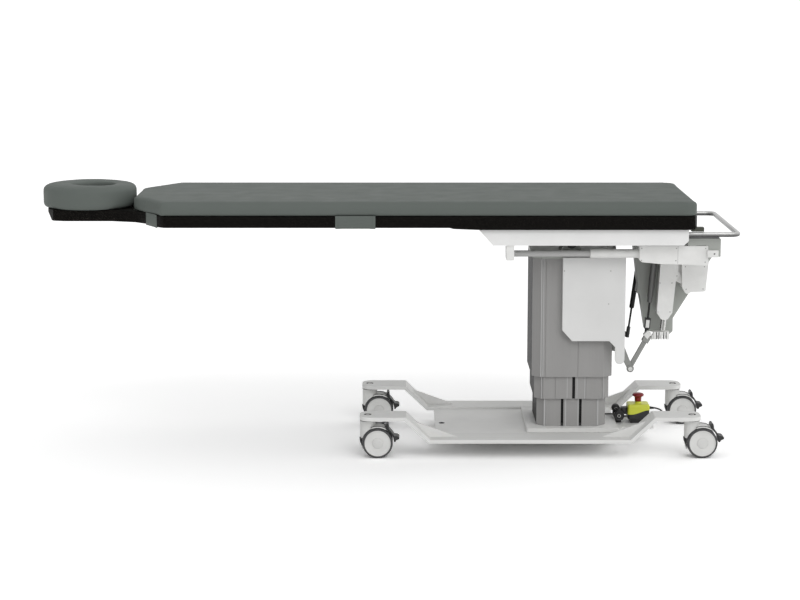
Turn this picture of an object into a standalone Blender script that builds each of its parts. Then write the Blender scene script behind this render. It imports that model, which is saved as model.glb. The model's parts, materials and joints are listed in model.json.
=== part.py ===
"""Operating table for imaging work: a carbon top that tilts, rolls and slides on a lifting column.

Metres, +Z up. The origin is on the floor under the middle of the table. +X runs from the head
end to the foot end, and -Y is the near side.
"""
import math

import bmesh
import bpy
from mathutils import Matrix, Vector

# Clearances
FIT = 0.0003
SLIDE_FIT = 0.0006
ROUND = 24

# Base: two joggled side rails, a pan between them and a plinth under the column
BASE_X = 0.4755
RAIL_Y = 0.2555
RAIL_WIDTH = 0.104
RAIL_THICKNESS = 0.013
RAIL_TOP = 0.0675
RAIL_RUN_HALF = 0.3275
RAIL_RISE = 0.074
RAIL_RISE_RUN = 0.0785
ARM_TIP = 0.559
ARM_TIP_CORNER = 0.034
STEM_INSET = 0.0265
GUSSET_THICKNESS = 0.010
GUSSET_ON_RUN = 0.090
GUSSET_ON_SLOPE = 0.056
PAN_TOP = 0.060
PAN_THICKNESS = 0.006
PAN_HEAD_X = 0.167
PAN_FOOT_X = 0.800
TONGUE_FOOT_X = 0.905
TONGUE_HALF = 0.085
PAN_HOLE = (0.1907, -0.021)
PAN_HOLE_RADIUS = 0.0085
PLINTH_HEAD_X = 0.4705
PLINTH_FOOT_X = 0.777
PLINTH_HALF = 0.168
PLINTH_THICKNESS = 0.0145

# Casters: the stem stands 32.5 mm ahead of the axle
WHEEL_RADIUS = 0.050
WHEEL_HALF_WIDTH = 0.0325
WHEEL_INNER = 0.0085
CASTER_TRAIL = 0.0325
AXLE_RADIUS = 0.006
HOUSING_RADIUS = 0.0255
HOUSING_BOTTOM = 0.064
HOOD_RADIUS = 0.0555
HOOD_HALF = 0.0065
STEM_RADIUS = 0.006
STEM_HEAD_RADIUS = 0.0078
RECESS_RADIUS = 0.0125
RECESS_DEPTH = 0.004
PEDAL_PIVOT_RADIUS = 0.036
PEDAL_PIVOT_ANGLE = 30.0
KNUCKLE_RADIUS = 0.0085
PEDAL_HALF = 0.014
FENDER_HALF = 0.030
FENDER_RADIUS = (0.0535, 0.0575)
FENDER_ANGLES = (-20.0, 56.0)
PEDAL_POST = (
    (0.0305, 0.0460), (0.0385, 0.0400), (0.0385, 0.0610), (0.0365, 0.0628), (0.0325, 0.0628), (0.0305, 0.0610),
)
PEDAL_TAB = (
    (0.0530, 0.0240), (0.0545, 0.0040), (0.0610, 0.0085), (0.0705, 0.0130), (0.0720, 0.0165), (0.0700, 0.0200),
    (0.0640, 0.0225),
)

# Column: three nested stages, each with its size along X and Y
COLUMN_X = 0.621
OUTER_SIZE = (0.2665, 0.300)
STAGE_STEP = 0.0185
STAGE_WALL = 0.0085
STAGE_CHAMFER = (0.030, 0.025)
LOWER_Z = (0.0745, 0.455)
MIDDLE_Z = (0.169, 0.560)
OUTER_Z = (0.245, 0.642)
HEAD_THICKNESS = 0.008
LIFT_CYLINDER_RADIUS = 0.034
LIFT_WALL = 0.005
LIFT_RAM_LOW = 0.250
LIFT_MIDDLE_LOW = 0.170

# Side covers of the column
COVER_PLATE = 0.006
COVER_GAP = 0.020
COVER_HEAD_X = 0.5845
COVER_FOOT_X = 0.7915
COVER_TOP = 0.650
COVER_BOTTOM = 0.3706
COVER_CORNER = (0.0325, 0.0364)
NOSE_LEFT_X = 0.7595
NOSE_BOTTOM = 0.293

# Tilt: hinge along Y in the column head
TILT_Z = 0.680
TILT_PIN_RADIUS = 0.012
EAR_HALF = 0.036
EAR_THICKNESS = 0.014
BEAM_HALF = 0.045
BEAM_Z = (0.690, 0.735)
BEAM_X = (0.480, 0.949)

# Roll: shaft along X through both ends of the tilting beam
ROLL_Z = 0.715
ROLL_SHAFT_RADIUS = 0.011
ROLL_SHAFT_X = (0.430, 0.990)
CRADLE_HEAD_X = (0.440, 0.470)
CRADLE_FOOT_X = (0.953, 0.983)
GUIDE_Y = (0.222, 0.252)
GUIDE_Z = (0.712, 0.748)

# Tilt drive: its axis leans from the top towards the column
DRIVE_Y = -0.073
DRIVE_HALF = 0.022
V_HALF = 0.030
V_WALL = 0.006
DRIVE_NOSE = (0.931, 0.428)
DRIVE_HINGE = (0.955, 0.660)
DRIVE_ROD_RADIUS = 0.0095
DRIVE_ROD_OUT = 0.039
DRIVE_ROD_IN = 0.118
DRIVE_BORE = 0.170
DRIVE_STUD_RADIUS = 0.007
DRIVE_EYE_RADIUS = 0.0125
STRUT_PIVOT = (0.820, 0.262)
STRUT_BOLT_RADIUS = 0.004
LINK_EYE_RADIUS = 0.0088
STRUT_HEAD = (0.878, 0.368)
STRUT_HALF = 0.007
YOKE_X = (0.897, 0.949)
YOKE_Z = (0.360, 0.386)
YOKE_HALF = 0.013

# Gas springs
NEAR_SPRING_TOP = (0.899, 0.668)
NEAR_SPRING_END = (0.8751, 0.388)
NEAR_SPRING_Y = -0.070
FAR_SPRING_TOP = (0.865, 0.655)
FAR_SPRING_END = (0.825, 0.350)
FAR_SPRING_Y = 0.056
SPRING_RADIUS = 0.0085
SPRING_ROD_RADIUS = 0.0035
SPRING_END_RADIUS = 0.0065
SPRING_END_LENGTH = 0.037

# Roll drive stands on the far side of the V bracket
ROLL_DRIVE_X = 0.930
ROLL_DRIVE_Y = 0.120
ROLL_DRIVE_RADIUS = 0.019

# Slide drive along the near side
SLIDE_Y = -0.222
SLIDE_Z = 0.670
SLIDE_ROD_RADIUS = 0.0105
SLIDE_TUBE_RADIUS = 0.0145
SLIDE_TUBE_X = 0.669
SLIDE_MOTOR_OUTLINE = ((0.8267, 0.6984), (1.0494, 0.6984), (1.0494, 0.6348), (0.892, 0.6395), (0.8345, 0.645),
                       (0.8267, 0.652))
SLIDE_MOTOR_HALF = 0.028
SLIDE_THROAT_X = 1.030
LUG_X = (0.393, 0.418)
LUG_TOP_Z = 0.693
BRACKET_FOOT_X = 1.0895
BRACKET_TAB_X = 1.0505
BRACKET_Z = (0.7246, 0.7000, 0.6633)

# Top
TOP_HALF = 0.305
TOP_Z = (0.764, 0.801)
TOP_THICK_Z = 0.7575
TOP_STEPS = ((1.007, 0.7575), (0.304, 0.7575), (0.222, 0.7605), (0.208, 0.764))
TOP_FOOT_X = 1.007
RAIL_SIDE_Y = (0.270, 0.290)
TOP_RAIL_Z = (0.705, 0.7572)
TOP_RAIL_X = (0.3025, 0.980)
PAD_Z = (0.8013, 0.848)
PAD_HEAD_X = -0.830
PAD_END_HALF = 0.125
PAD_SHOULDER_X = -0.721
PAD_CORNER = 0.030
RING_X = -0.988
RING_RADIUS = 0.157
RING_TOP = 0.877
STRAP_THICKNESS = 0.003
MID_STRAP_X = (-0.159, -0.030)
HEAD_STRAP_X = (-0.779, -0.735)
HEAD_TAPER = ((-0.781, 0.197), (-0.732, 0.286))
HANDLE_Z = 0.740
HANDLE_END_X = 1.1425
HANDLE_LEG_Y = 0.282
HANDLE_RADIUS = 0.008
HANDLE_BEND = 0.026
HANDLE_START_X = 0.9803

# Emergency stop box on the tongue of the pan
STOP_X = 0.8585
STOP_SIZE = (0.074, 0.066)
STOP_BASE_Z = (0.0603, 0.0952)
STOP_SKIRT_Z = 0.0745
STOP_COVER_Z = (0.0955, 0.1260)
STOP_STEM_LIFT = 0.0125
STOP_BUTTON = ((0.0, 0.0), (0.0, 0.0085), (0.0258, 0.0085), (0.0268, 0.0105), (0.0395, 0.0114), (0.0412, 0.0172),
               (0.0440, 0.0185), (0.0482, 0.0178), (0.0503, 0.0100), (0.0507, 0.0))
LEAD_RADIUS = 0.0028
LEAD_POINTS = (
    (0.9040, 0.010, 0.1060), (0.9200, 0.011, 0.1048), (0.9370, 0.018, 0.0975), (0.9470, 0.032, 0.0860),
    (0.9480, 0.050, 0.0750), (0.9390, 0.067, 0.0680), (0.9190, 0.0785, 0.0645), (0.8960, 0.0805, 0.0634),
    (0.8680, 0.0805, 0.0632), (0.8400, 0.0790, 0.0632), (0.8170, 0.0730, 0.0632), (0.8010, 0.0620, 0.0638),
    (0.7910, 0.0510, 0.0680), (0.7830, 0.0430, 0.0745), (0.7740, 0.0395, 0.0784), (0.7620, 0.0385, 0.0786),
    (0.7490, 0.0385, 0.0785), (0.7362, 0.0385, 0.0785),
)

MATERIALS = {
    "base_paint": ((0.62, 0.62, 0.60), 0.45, 0.0),
    "white_paint": ((0.72, 0.72, 0.71), 0.45, 0.0),
    "column_grey": ((0.28, 0.28, 0.28), 0.42, 0.4),
    "bracket_grey": ((0.30, 0.32, 0.29), 0.45, 0.1),
    "carbon": ((0.008, 0.007, 0.006), 0.35, 0.0),
    "pad_vinyl": ((0.145, 0.165, 0.150), 0.55, 0.0),
    "bright_steel": ((0.60, 0.60, 0.60), 0.25, 1.0),
    "drive_white": ((0.68, 0.68, 0.67), 0.40, 0.0),
    "black_plastic": ((0.02, 0.02, 0.02), 0.45, 0.0),
    "caster_grey": ((0.66, 0.66, 0.65), 0.45, 0.0),
    "stop_yellow": ((0.62, 0.68, 0.05), 0.40, 0.0),
    "stop_red": ((0.28, 0.012, 0.022), 0.35, 0.0),
}


def clear_scene():
    for thing in list(bpy.data.objects):
        bpy.data.objects.remove(thing, do_unlink=True)


def material(name):
    found = bpy.data.materials.get(name)
    if found:
        return found
    colour, roughness, metallic = MATERIALS[name]
    made = bpy.data.materials.new(name)
    made.use_nodes = True
    shader = made.node_tree.nodes["Principled BSDF"]
    shader.inputs["Base Color"].default_value = (*colour, 1.0)
    shader.inputs["Roughness"].default_value = roughness
    shader.inputs["Metallic"].default_value = metallic
    made.diffuse_color = (*colour, 1.0)
    return made


def finish(name, shape, finish_name, origin=(0.0, 0.0, 0.0), smooth=False):
    """Makes an object from a bmesh in world coordinates, with its origin at the given point."""
    bmesh.ops.remove_doubles(shape, verts=shape.verts, dist=1e-6)
    bmesh.ops.recalc_face_normals(shape, faces=shape.faces)
    bmesh.ops.translate(shape, verts=shape.verts, vec=-Vector(origin))
    mesh = bpy.data.meshes.new(name)
    shape.to_mesh(mesh)
    shape.free()
    mesh.materials.append(material(finish_name))
    made = bpy.data.objects.new(name, mesh)
    made.location = origin
    bpy.context.scene.collection.objects.link(made)
    if smooth:
        mesh.shade_smooth()
        mesh.set_sharp_from_angle(angle=math.radians(35))
    return made


def plane_point(axis, u, v, w):
    """A point at u, v on the plane across the axis and w along it."""
    if axis == "X":
        return Vector((w, u, v))
    if axis == "Y":
        return Vector((u, w, v))
    return Vector((u, v, w))


def prism(outline, axis, low, high):
    """A closed prism of an outline in the plane across the axis."""
    shape = bmesh.new()
    bottom = [shape.verts.new(plane_point(axis, u, v, low)) for u, v in outline]
    top = [shape.verts.new(plane_point(axis, u, v, high)) for u, v in outline]
    count = len(outline)
    for i in range(count):
        j = (i + 1) % count
        shape.faces.new((bottom[i], bottom[j], top[j], top[i]))
    shape.faces.new(bottom[::-1])
    shape.faces.new(top)
    bmesh.ops.recalc_face_normals(shape, faces=shape.faces)
    return shape


def box(x, y, z):
    return prism(((x[0], y[0]), (x[1], y[0]), (x[1], y[1]), (x[0], y[1])), "Z", z[0], z[1])


def lathe(profile, start, direction, segments=ROUND, turn=0.0):
    """A solid of revolution: the profile gives distance along the axis and radius."""
    axis = Vector(direction).normalized()
    side = axis.orthogonal().normalized()
    if abs(axis.z) < 0.5:
        side = (Vector((0, 0, 1)) - axis * axis.z).normalized()
    other = axis.cross(side)
    shape = bmesh.new()
    rings = []
    for along, radius in profile:
        centre = Vector(start) + axis * along
        if radius < 1e-7:
            rings.append([shape.verts.new(centre)])
            continue
        ring = []
        for k in range(segments):
            angle = 2 * math.pi * (k + turn) / segments
            ring.append(shape.verts.new(centre + (side * math.cos(angle) + other * math.sin(angle)) * radius))
        rings.append(ring)
    for first, second in zip(rings, rings[1:]):
        for k in range(segments):
            m = (k + 1) % segments
            corners = [first[k % len(first)], first[m % len(first)],
                       second[m % len(second)], second[k % len(second)]]
            unique = list(dict.fromkeys(corners))
            shape.faces.new(unique)
    if len(rings[0]) > 1:
        shape.faces.new(rings[0][::-1])
    if len(rings[-1]) > 1:
        shape.faces.new(rings[-1])
    bmesh.ops.recalc_face_normals(shape, faces=shape.faces)
    return shape


def bar(start, end, radius, segments=ROUND):
    span = Vector(end) - Vector(start)
    return lathe(((0.0, radius), (span.length, radius)), start, span, segments)


def combine(first, second, operation):
    """Boolean of two closed bmeshes, with the exact solver."""
    holders = []
    for shape in (first, second):
        mesh = bpy.data.meshes.new("working")
        shape.to_mesh(mesh)
        shape.free()
        holder = bpy.data.objects.new("working", mesh)
        bpy.context.scene.collection.objects.link(holder)
        holders.append(holder)
    modifier = holders[0].modifiers.new("combine", "BOOLEAN")
    modifier.object = holders[1]
    modifier.operation = operation
    modifier.solver = "EXACT"
    graph = bpy.context.evaluated_depsgraph_get()
    result = bmesh.new()
    evaluated = holders[0].evaluated_get(graph)
    result.from_mesh(evaluated.to_mesh())
    evaluated.to_mesh_clear()
    for holder in holders:
        mesh = holder.data
        bpy.data.objects.remove(holder, do_unlink=True)
        bpy.data.meshes.remove(mesh)
    bmesh.ops.remove_doubles(result, verts=result.verts, dist=1e-6)
    bmesh.ops.dissolve_limit(result, angle_limit=math.radians(0.5), verts=result.verts, edges=result.edges)
    return result


def union(first, *others):
    for other in others:
        first = combine(first, other, "UNION")
    return first


def cut(first, *others):
    for other in others:
        first = combine(first, other, "DIFFERENCE")
    return first


def arc(centre, radius, start, end, steps):
    """Points on an arc, angles in degrees."""
    points = []
    for k in range(steps + 1):
        angle = math.radians(start + (end - start) * k / steps)
        points.append((centre[0] + radius * math.cos(angle), centre[1] + radius * math.sin(angle)))
    return points


def rounded(outline, radii, steps=4):
    """The outline with its corners rounded: one radius for all, or one for each corner."""
    if not isinstance(radii, (list, tuple)):
        radii = [radii] * len(outline)
    points = []
    count = len(outline)
    for i, (corner, radius) in enumerate(zip(outline, radii)):
        here = Vector(corner)
        if radius <= 0.0:
            points.append((here.x, here.y))
            continue
        before = (Vector(outline[i - 1]) - here).normalized()
        after = (Vector(outline[(i + 1) % count]) - here).normalized()
        half = before.angle(after) / 2
        reach = radius / math.tan(half)
        centre = here + (before + after).normalized() * (radius / math.sin(half))
        first = here + before * reach - centre
        second = here + after * reach - centre
        sweep = first.angle_signed(second)
        for k in range(steps + 1):
            spoke = first.copy()
            spoke.rotate(Matrix.Rotation(-sweep * k / steps, 2))
            points.append((centre.x + spoke.x, centre.y + spoke.y))
    return points


def band(path, thickness):
    """A strip of even thickness below an open path, with mitred bends."""
    lower = []
    count = len(path)
    for i, point in enumerate(path):
        here = Vector(point)
        before = (here - Vector(path[i - 1])).normalized() if i > 0 else None
        after = (Vector(path[i + 1]) - here).normalized() if i < count - 1 else None
        before = before or after
        after = after or before
        normal_a = Vector((before.y, -before.x))
        normal_b = Vector((after.y, -after.x))
        middle = (normal_a + normal_b).normalized()
        offset = here + middle * (thickness / middle.dot(normal_a))
        lower.append((offset.x, offset.y))
    return list(path) + lower[::-1]


def octagon(size, chamfer, grooves=()):
    """Column outline in plan, with grooves (offset, width, depth) in its two Y faces."""
    half_x = size[0] / 2
    half_y = size[1] / 2
    near = [(COLUMN_X - half_x + chamfer[0], -half_y)]
    for offset, width, depth in grooves:
        left = COLUMN_X + offset - width / 2
        right = COLUMN_X + offset + width / 2
        near += [(left, -half_y), (left, -half_y + depth), (right, -half_y + depth), (right, -half_y)]
    near.append((COLUMN_X + half_x - chamfer[0], -half_y))
    side = [(COLUMN_X + half_x, -half_y + chamfer[1]), (COLUMN_X + half_x, half_y - chamfer[1])]
    far = [(x, -y) for x, y in reversed(near)]
    head = [(COLUMN_X - half_x, half_y - chamfer[1]), (COLUMN_X - half_x, -half_y + chamfer[1])]
    return near + side + far + head


def stage_size(level):
    """Size of a stage: level 0 is the outer one, 2 the lower one."""
    return tuple(side - STAGE_STEP * level for side in OUTER_SIZE)


def stage(level, span, grooves, roof=0.0):
    size = stage_size(level)
    inner = tuple(side - 2 * STAGE_WALL for side in size)
    chamfer_in = tuple(side - STAGE_WALL * 0.55 for side in STAGE_CHAMFER)
    body = prism(octagon(size, STAGE_CHAMFER, grooves), "Z", *span)
    bore = prism(octagon(inner, chamfer_in), "Z", span[0] - 0.01, span[1] - roof if roof else span[1] + 0.01)
    return cut(body, bore)


def side_rail(name, side):
    run = RAIL_RUN_HALF
    rise = run + RAIL_RISE_RUN
    top = RAIL_TOP
    high = top + RAIL_RISE
    path = [(BASE_X - ARM_TIP, high), (BASE_X - rise, high), (BASE_X - run, top),
            (BASE_X + run, top), (BASE_X + rise, high), (BASE_X + ARM_TIP, high)]
    strip = prism(band(path, RAIL_THICKNESS), "Y", -RAIL_WIDTH / 2, RAIL_WIDTH / 2)
    tip = RAIL_WIDTH / 2
    ends = (BASE_X - ARM_TIP, BASE_X + ARM_TIP)
    plan = rounded([(ends[1], -tip), (ends[1], tip), (ends[0], tip), (ends[0], -tip)], ARM_TIP_CORNER, 6)
    shape = combine(strip, prism(plan, "Z", 0.0, high + 0.01), "INTERSECT")
    slope = RAIL_RISE / RAIL_RISE_RUN
    sink = 0.002
    for end in (-1, 1):
        bend = BASE_X + end * run
        gusset = [(bend - end * GUSSET_ON_RUN, top), (bend - end * GUSSET_ON_RUN, top - sink), (bend, top - sink),
                  (bend + end * GUSSET_ON_SLOPE + end * sink, top + GUSSET_ON_SLOPE * slope - sink),
                  (bend + end * GUSSET_ON_SLOPE, top + GUSSET_ON_SLOPE * slope)]
        shape = union(shape, prism(gusset, "Y", -GUSSET_THICKNESS / 2, GUSSET_THICKNESS / 2))
        stem_x = BASE_X + end * (ARM_TIP - STEM_INSET)
        hole = lathe(((0.0, STEM_RADIUS + FIT), (RAIL_THICKNESS + 0.005 - RECESS_DEPTH, STEM_RADIUS + FIT),
                      (RAIL_THICKNESS + 0.005 - RECESS_DEPTH, RECESS_RADIUS),
                      (RAIL_THICKNESS + 0.02, RECESS_RADIUS)),
                     (stem_x, 0, high - RAIL_THICKNESS - 0.005), (0, 0, 1))
        shape = cut(shape, hole)
    bmesh.ops.translate(shape, verts=shape.verts, vec=(0, side * RAIL_Y, 0))
    finish(name, shape, "base_paint")


def base_frame():
    side_rail("near_side_rail", -1)
    side_rail("far_side_rail", 1)
    inner = RAIL_Y - RAIL_WIDTH / 2 - FIT
    corner = 0.055
    near = [(PAN_HEAD_X, -inner), (PAN_FOOT_X - corner, -inner), (PAN_FOOT_X, -TONGUE_HALF),
            (TONGUE_FOOT_X - 0.012, -TONGUE_HALF), (TONGUE_FOOT_X, -TONGUE_HALF + 0.012)]
    outline = near + [(x, -y) for x, y in reversed(near)]
    pan = prism(outline, "Z", PAN_TOP - PAN_THICKNESS, PAN_TOP)
    hole = bar((*PAN_HOLE, 0.0), (*PAN_HOLE, 0.1), PAN_HOLE_RADIUS, 20)
    finish("base_pan", cut(pan, hole), "base_paint")
    plinth = rounded([(PLINTH_HEAD_X, -PLINTH_HALF), (PLINTH_FOOT_X, -PLINTH_HALF), (PLINTH_FOOT_X, PLINTH_HALF),
                      (PLINTH_HEAD_X, PLINTH_HALF)], 0.005, 2)
    finish("column_plinth", prism(plinth, "Z", PAN_TOP + FIT, PAN_TOP + PLINTH_THICKNESS - FIT), "base_paint")


def wheel_pair(name, centre):
    outer = WHEEL_RADIUS / math.cos(math.pi / ROUND)
    half = WHEEL_HALF_WIDTH
    side = [(-half, 0.0), (-half, 0.010), (-half + 0.003, 0.0135), (-half + 0.002, 0.042),
            (-half + 0.003, outer - 0.0025), (-half + 0.006, outer), (-WHEEL_INNER - 0.003, outer),
            (-WHEEL_INNER, outer - 0.003), (-WHEEL_INNER, AXLE_RADIUS)]
    profile = side + [(-along, radius) for along, radius in reversed(side)]
    shape = lathe(profile, centre, (0, 1, 0), ROUND, 0.5)
    finish(name, shape, "caster_grey", centre, True)


def polar(centre, radius, degrees):
    angle = math.radians(degrees)
    return (centre[0] + radius * math.cos(angle), centre[1] + radius * math.sin(angle))


def caster(place, stem_x, stem_y):
    axle_x = stem_x + CASTER_TRAIL
    hub = (axle_x, WHEEL_RADIUS)
    arm_top = RAIL_TOP + RAIL_RISE
    arm_bottom = arm_top - RAIL_THICKNESS
    pivot = polar(hub, PEDAL_PIVOT_RADIUS, PEDAL_PIVOT_ANGLE)
    wheel_pair(place + "_caster_wheels", (axle_x, stem_y, WHEEL_RADIUS))
    drum = lathe(((0.0, HOUSING_RADIUS - 0.002), (0.004, HOUSING_RADIUS),
                  (arm_bottom - HOUSING_BOTTOM - 0.006, HOUSING_RADIUS),
                  (arm_bottom - HOUSING_BOTTOM - 0.005, HOUSING_RADIUS - 0.0015),
                  (arm_bottom - HOUSING_BOTTOM - FIT, HOUSING_RADIUS - 0.0015),
                  (arm_bottom - HOUSING_BOTTOM - FIT, STEM_RADIUS),
                  (arm_top - RECESS_DEPTH + FIT - HOUSING_BOTTOM, STEM_RADIUS),
                  (arm_top - RECESS_DEPTH + FIT - HOUSING_BOTTOM, STEM_HEAD_RADIUS),
                  (arm_top - 0.0015 - HOUSING_BOTTOM, STEM_HEAD_RADIUS * 0.8),
                  (arm_top - HOUSING_BOTTOM, 0.0)),
                 (stem_x, stem_y, HOUSING_BOTTOM), (0, 0, 1))
    for side in (-1, 1):
        inside = (axle_x, stem_y + side * (WHEEL_INNER - 0.001), WHEEL_RADIUS)
        drum = cut(drum, bar((axle_x, stem_y + side * 0.05, WHEEL_RADIUS), inside, WHEEL_RADIUS + 0.0025))
    hood = arc(hub, HOOD_RADIUS, 64, 205, 12)
    hood += arc(hub, 0.014, 250, 320, 3)
    hood += arc(pivot, 0.0155, -50, 62, 5)
    plate = prism(hood, "Y", stem_y - HOOD_HALF, stem_y + HOOD_HALF)
    shape = union(drum, plate)
    bore = bar((axle_x, stem_y - 0.02, WHEEL_RADIUS), (axle_x, stem_y + 0.02, WHEEL_RADIUS), AXLE_RADIUS + FIT)
    socket = bar((pivot[0], stem_y - 0.02, pivot[1]), (pivot[0], stem_y + 0.02, pivot[1]), KNUCKLE_RADIUS + FIT)
    slot = [polar(pivot, 0.0, 0), polar(pivot, 0.030, -14), polar(pivot, 0.030, 62)]
    mouth = prism(slot, "Y", stem_y - 0.02, stem_y + 0.02)
    finish(place + "_caster_housing", cut(shape, bore, socket, mouth), "caster_grey",
           (stem_x, stem_y, arm_bottom), True)
    knuckle = bar((pivot[0], stem_y - 0.005, pivot[1]), (pivot[0], stem_y + 0.005, pivot[1]), KNUCKLE_RADIUS, 20)
    spoke = Vector(polar((0.0, 0.0), 1.0, PEDAL_PIVOT_ANGLE))
    across = Vector((-spoke.y, spoke.x)) * 0.004
    neck_start = Vector(pivot)
    neck_end = Vector(hub) + spoke * (FENDER_RADIUS[0] + 0.002)
    neck = [neck_start - across, neck_end - across, neck_end + across, neck_start + across]
    web = prism(neck, "Y", stem_y - 0.005, stem_y + 0.005)
    low, high = FENDER_ANGLES
    fender = arc(hub, FENDER_RADIUS[0], low, high, 10) + arc(hub, FENDER_RADIUS[1], high, low, 10)
    shoe = prism(fender, "Y", stem_y - FENDER_HALF, stem_y + FENDER_HALF)
    grips = []
    for outline in (PEDAL_POST, PEDAL_TAB):
        placed = [(hub[0] + u, hub[1] + v) for u, v in outline]
        grips.append(prism(placed, "Y", stem_y - PEDAL_HALF, stem_y + PEDAL_HALF))
    finish(place + "_brake_pedal", union(shoe, web, knuckle, *grips), "black_plastic",
           (pivot[0], stem_y, pivot[1]), True)


def casters():
    for place, end, side in (("head_near", -1, -1), ("head_far", -1, 1), ("foot_near", 1, -1), ("foot_far", 1, 1)):
        caster(place, BASE_X + end * (ARM_TIP - STEM_INSET), side * RAIL_Y)


def column():
    lower = stage(2, LOWER_Z, ((-0.0304, 0.009, 0.0062), (0.0304, 0.009, 0.0062)))
    finish("lower_column_stage", lower, "column_grey")
    middle = stage(1, MIDDLE_Z, ((-0.055, 0.003, 0.0015), (0.0065, 0.0096, 0.0062), (0.047, 0.003, 0.0015)), 0.008)
    tube = LIFT_CYLINDER_RADIUS
    middle_tube = tube - LIFT_WALL - SLIDE_FIT
    ram = middle_tube - LIFT_WALL - SLIDE_FIT
    hole = bar((COLUMN_X, 0, 0.4), (COLUMN_X, 0, 0.7), ram + SLIDE_FIT)
    finish("middle_column_stage", cut(middle, hole), "column_grey")
    outer = stage(0, OUTER_Z, ((-0.098, 0.003, 0.0015), (-0.090, 0.003, 0.0015), (0.019, 0.002, 0.0015)))
    finish("outer_column_stage", outer, "column_grey")
    floor = PAN_TOP + PLINTH_THICKNESS
    cylinder = cut(bar((COLUMN_X, 0, floor), (COLUMN_X, 0, LOWER_Z[1] - 0.012), tube),
                   bar((COLUMN_X, 0, floor + 0.010), (COLUMN_X, 0, 0.7), middle_tube + SLIDE_FIT))
    finish("lift_cylinder", cylinder, "bright_steel", (COLUMN_X, 0, floor), True)
    roof = MIDDLE_Z[1] - 0.008 - FIT
    sleeve = cut(bar((COLUMN_X, 0, LIFT_MIDDLE_LOW), (COLUMN_X, 0, roof), middle_tube),
                 bar((COLUMN_X, 0, 0.1), (COLUMN_X, 0, 0.7), ram + SLIDE_FIT))
    finish("lift_middle_tube", sleeve, "bright_steel", (COLUMN_X, 0, floor), True)
    finish("lift_ram", bar((COLUMN_X, 0, LIFT_RAM_LOW), (COLUMN_X, 0, OUTER_Z[1] - 0.0003), ram), "bright_steel",
           (COLUMN_X, 0, floor), True)


def column_head():
    base = OUTER_Z[1]
    top = base + HEAD_THICKNESS
    plate = prism(octagon(OUTER_SIZE, STAGE_CHAMFER), "Z", base + FIT, top)
    inner = BEAM_HALF + FIT
    ears = []
    for side in (-1, 1):
        profile = [(COLUMN_X - EAR_HALF, top - 0.001), (COLUMN_X + EAR_HALF, top - 0.001)]
        profile += arc((COLUMN_X, TILT_Z), 0.024, 0, 180, 8)
        low, high = sorted((side * inner, side * (inner + EAR_THICKNESS)))
        ears.append(prism(profile, "Y", low, high))
    shape = union(plate, *ears)
    hole = bar((COLUMN_X, -0.1, TILT_Z), (COLUMN_X, 0.1, TILT_Z), TILT_PIN_RADIUS + FIT)
    finish("column_head", cut(shape, hole), "bracket_grey")
    reach = inner + EAR_THICKNESS
    rim = TILT_PIN_RADIUS + 0.004
    pin = lathe(((0.0, 0.0), (0.0, rim), (0.005, rim), (0.005, TILT_PIN_RADIUS),
                 (2 * reach + 0.006, TILT_PIN_RADIUS), (2 * reach + 0.006, 0.0)),
                (COLUMN_X, -reach - 0.005 - FIT, TILT_Z), (0, 1, 0))
    finish("tilt_pivot_pin", pin, "bright_steel", (COLUMN_X, 0, TILT_Z), True)


def cover_outline():
    nose_radius = (COVER_FOOT_X - NOSE_LEFT_X) / 2
    nose = arc((NOSE_LEFT_X + nose_radius, NOSE_BOTTOM + nose_radius), nose_radius, 180, 360, 8)
    return ([(COVER_HEAD_X, COVER_TOP), (COVER_HEAD_X, COVER_BOTTOM + COVER_CORNER[1]),
             (COVER_HEAD_X + COVER_CORNER[0], COVER_BOTTOM), (NOSE_LEFT_X - 0.019, COVER_BOTTOM),
             (NOSE_LEFT_X, COVER_BOTTOM - 0.020)] + nose + [(COVER_FOOT_X, COVER_TOP)])


def side_covers():
    inner = OUTER_SIZE[1] / 2 + FIT
    outer = inner + COVER_GAP + COVER_PLATE
    rim_low = COVER_BOTTOM + COVER_CORNER[1]
    for name, side in (("near_side_cover", -1), ("far_side_cover", 1)):
        low, high = sorted((side * (inner + COVER_GAP), side * outer))
        plate = prism(cover_outline(), "Y", low, high)
        bosses = []
        for x, z in ((0.612, 0.610), (0.700, 0.610), (0.700, 0.410)):
            bosses.append(bar((x, side * inner, z), (x, side * (inner + COVER_GAP + 0.001), z), 0.009, 12))
        low, high = sorted((side * inner, side * (outer - 0.001)))
        rim = prism([(COVER_FOOT_X - 0.004, NOSE_BOTTOM + 0.02), (COVER_FOOT_X, NOSE_BOTTOM + 0.02),
                     (COVER_FOOT_X, COVER_TOP), (COVER_FOOT_X - 0.004, COVER_TOP)], "Y", low, high)
        head_rim = prism([(COVER_HEAD_X, rim_low), (COVER_HEAD_X + 0.004, rim_low),
                          (COVER_HEAD_X + 0.004, COVER_TOP), (COVER_HEAD_X, COVER_TOP)], "Y", low, high)
        finish(name, union(plate, rim, head_rim, *bosses), "white_paint")


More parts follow.
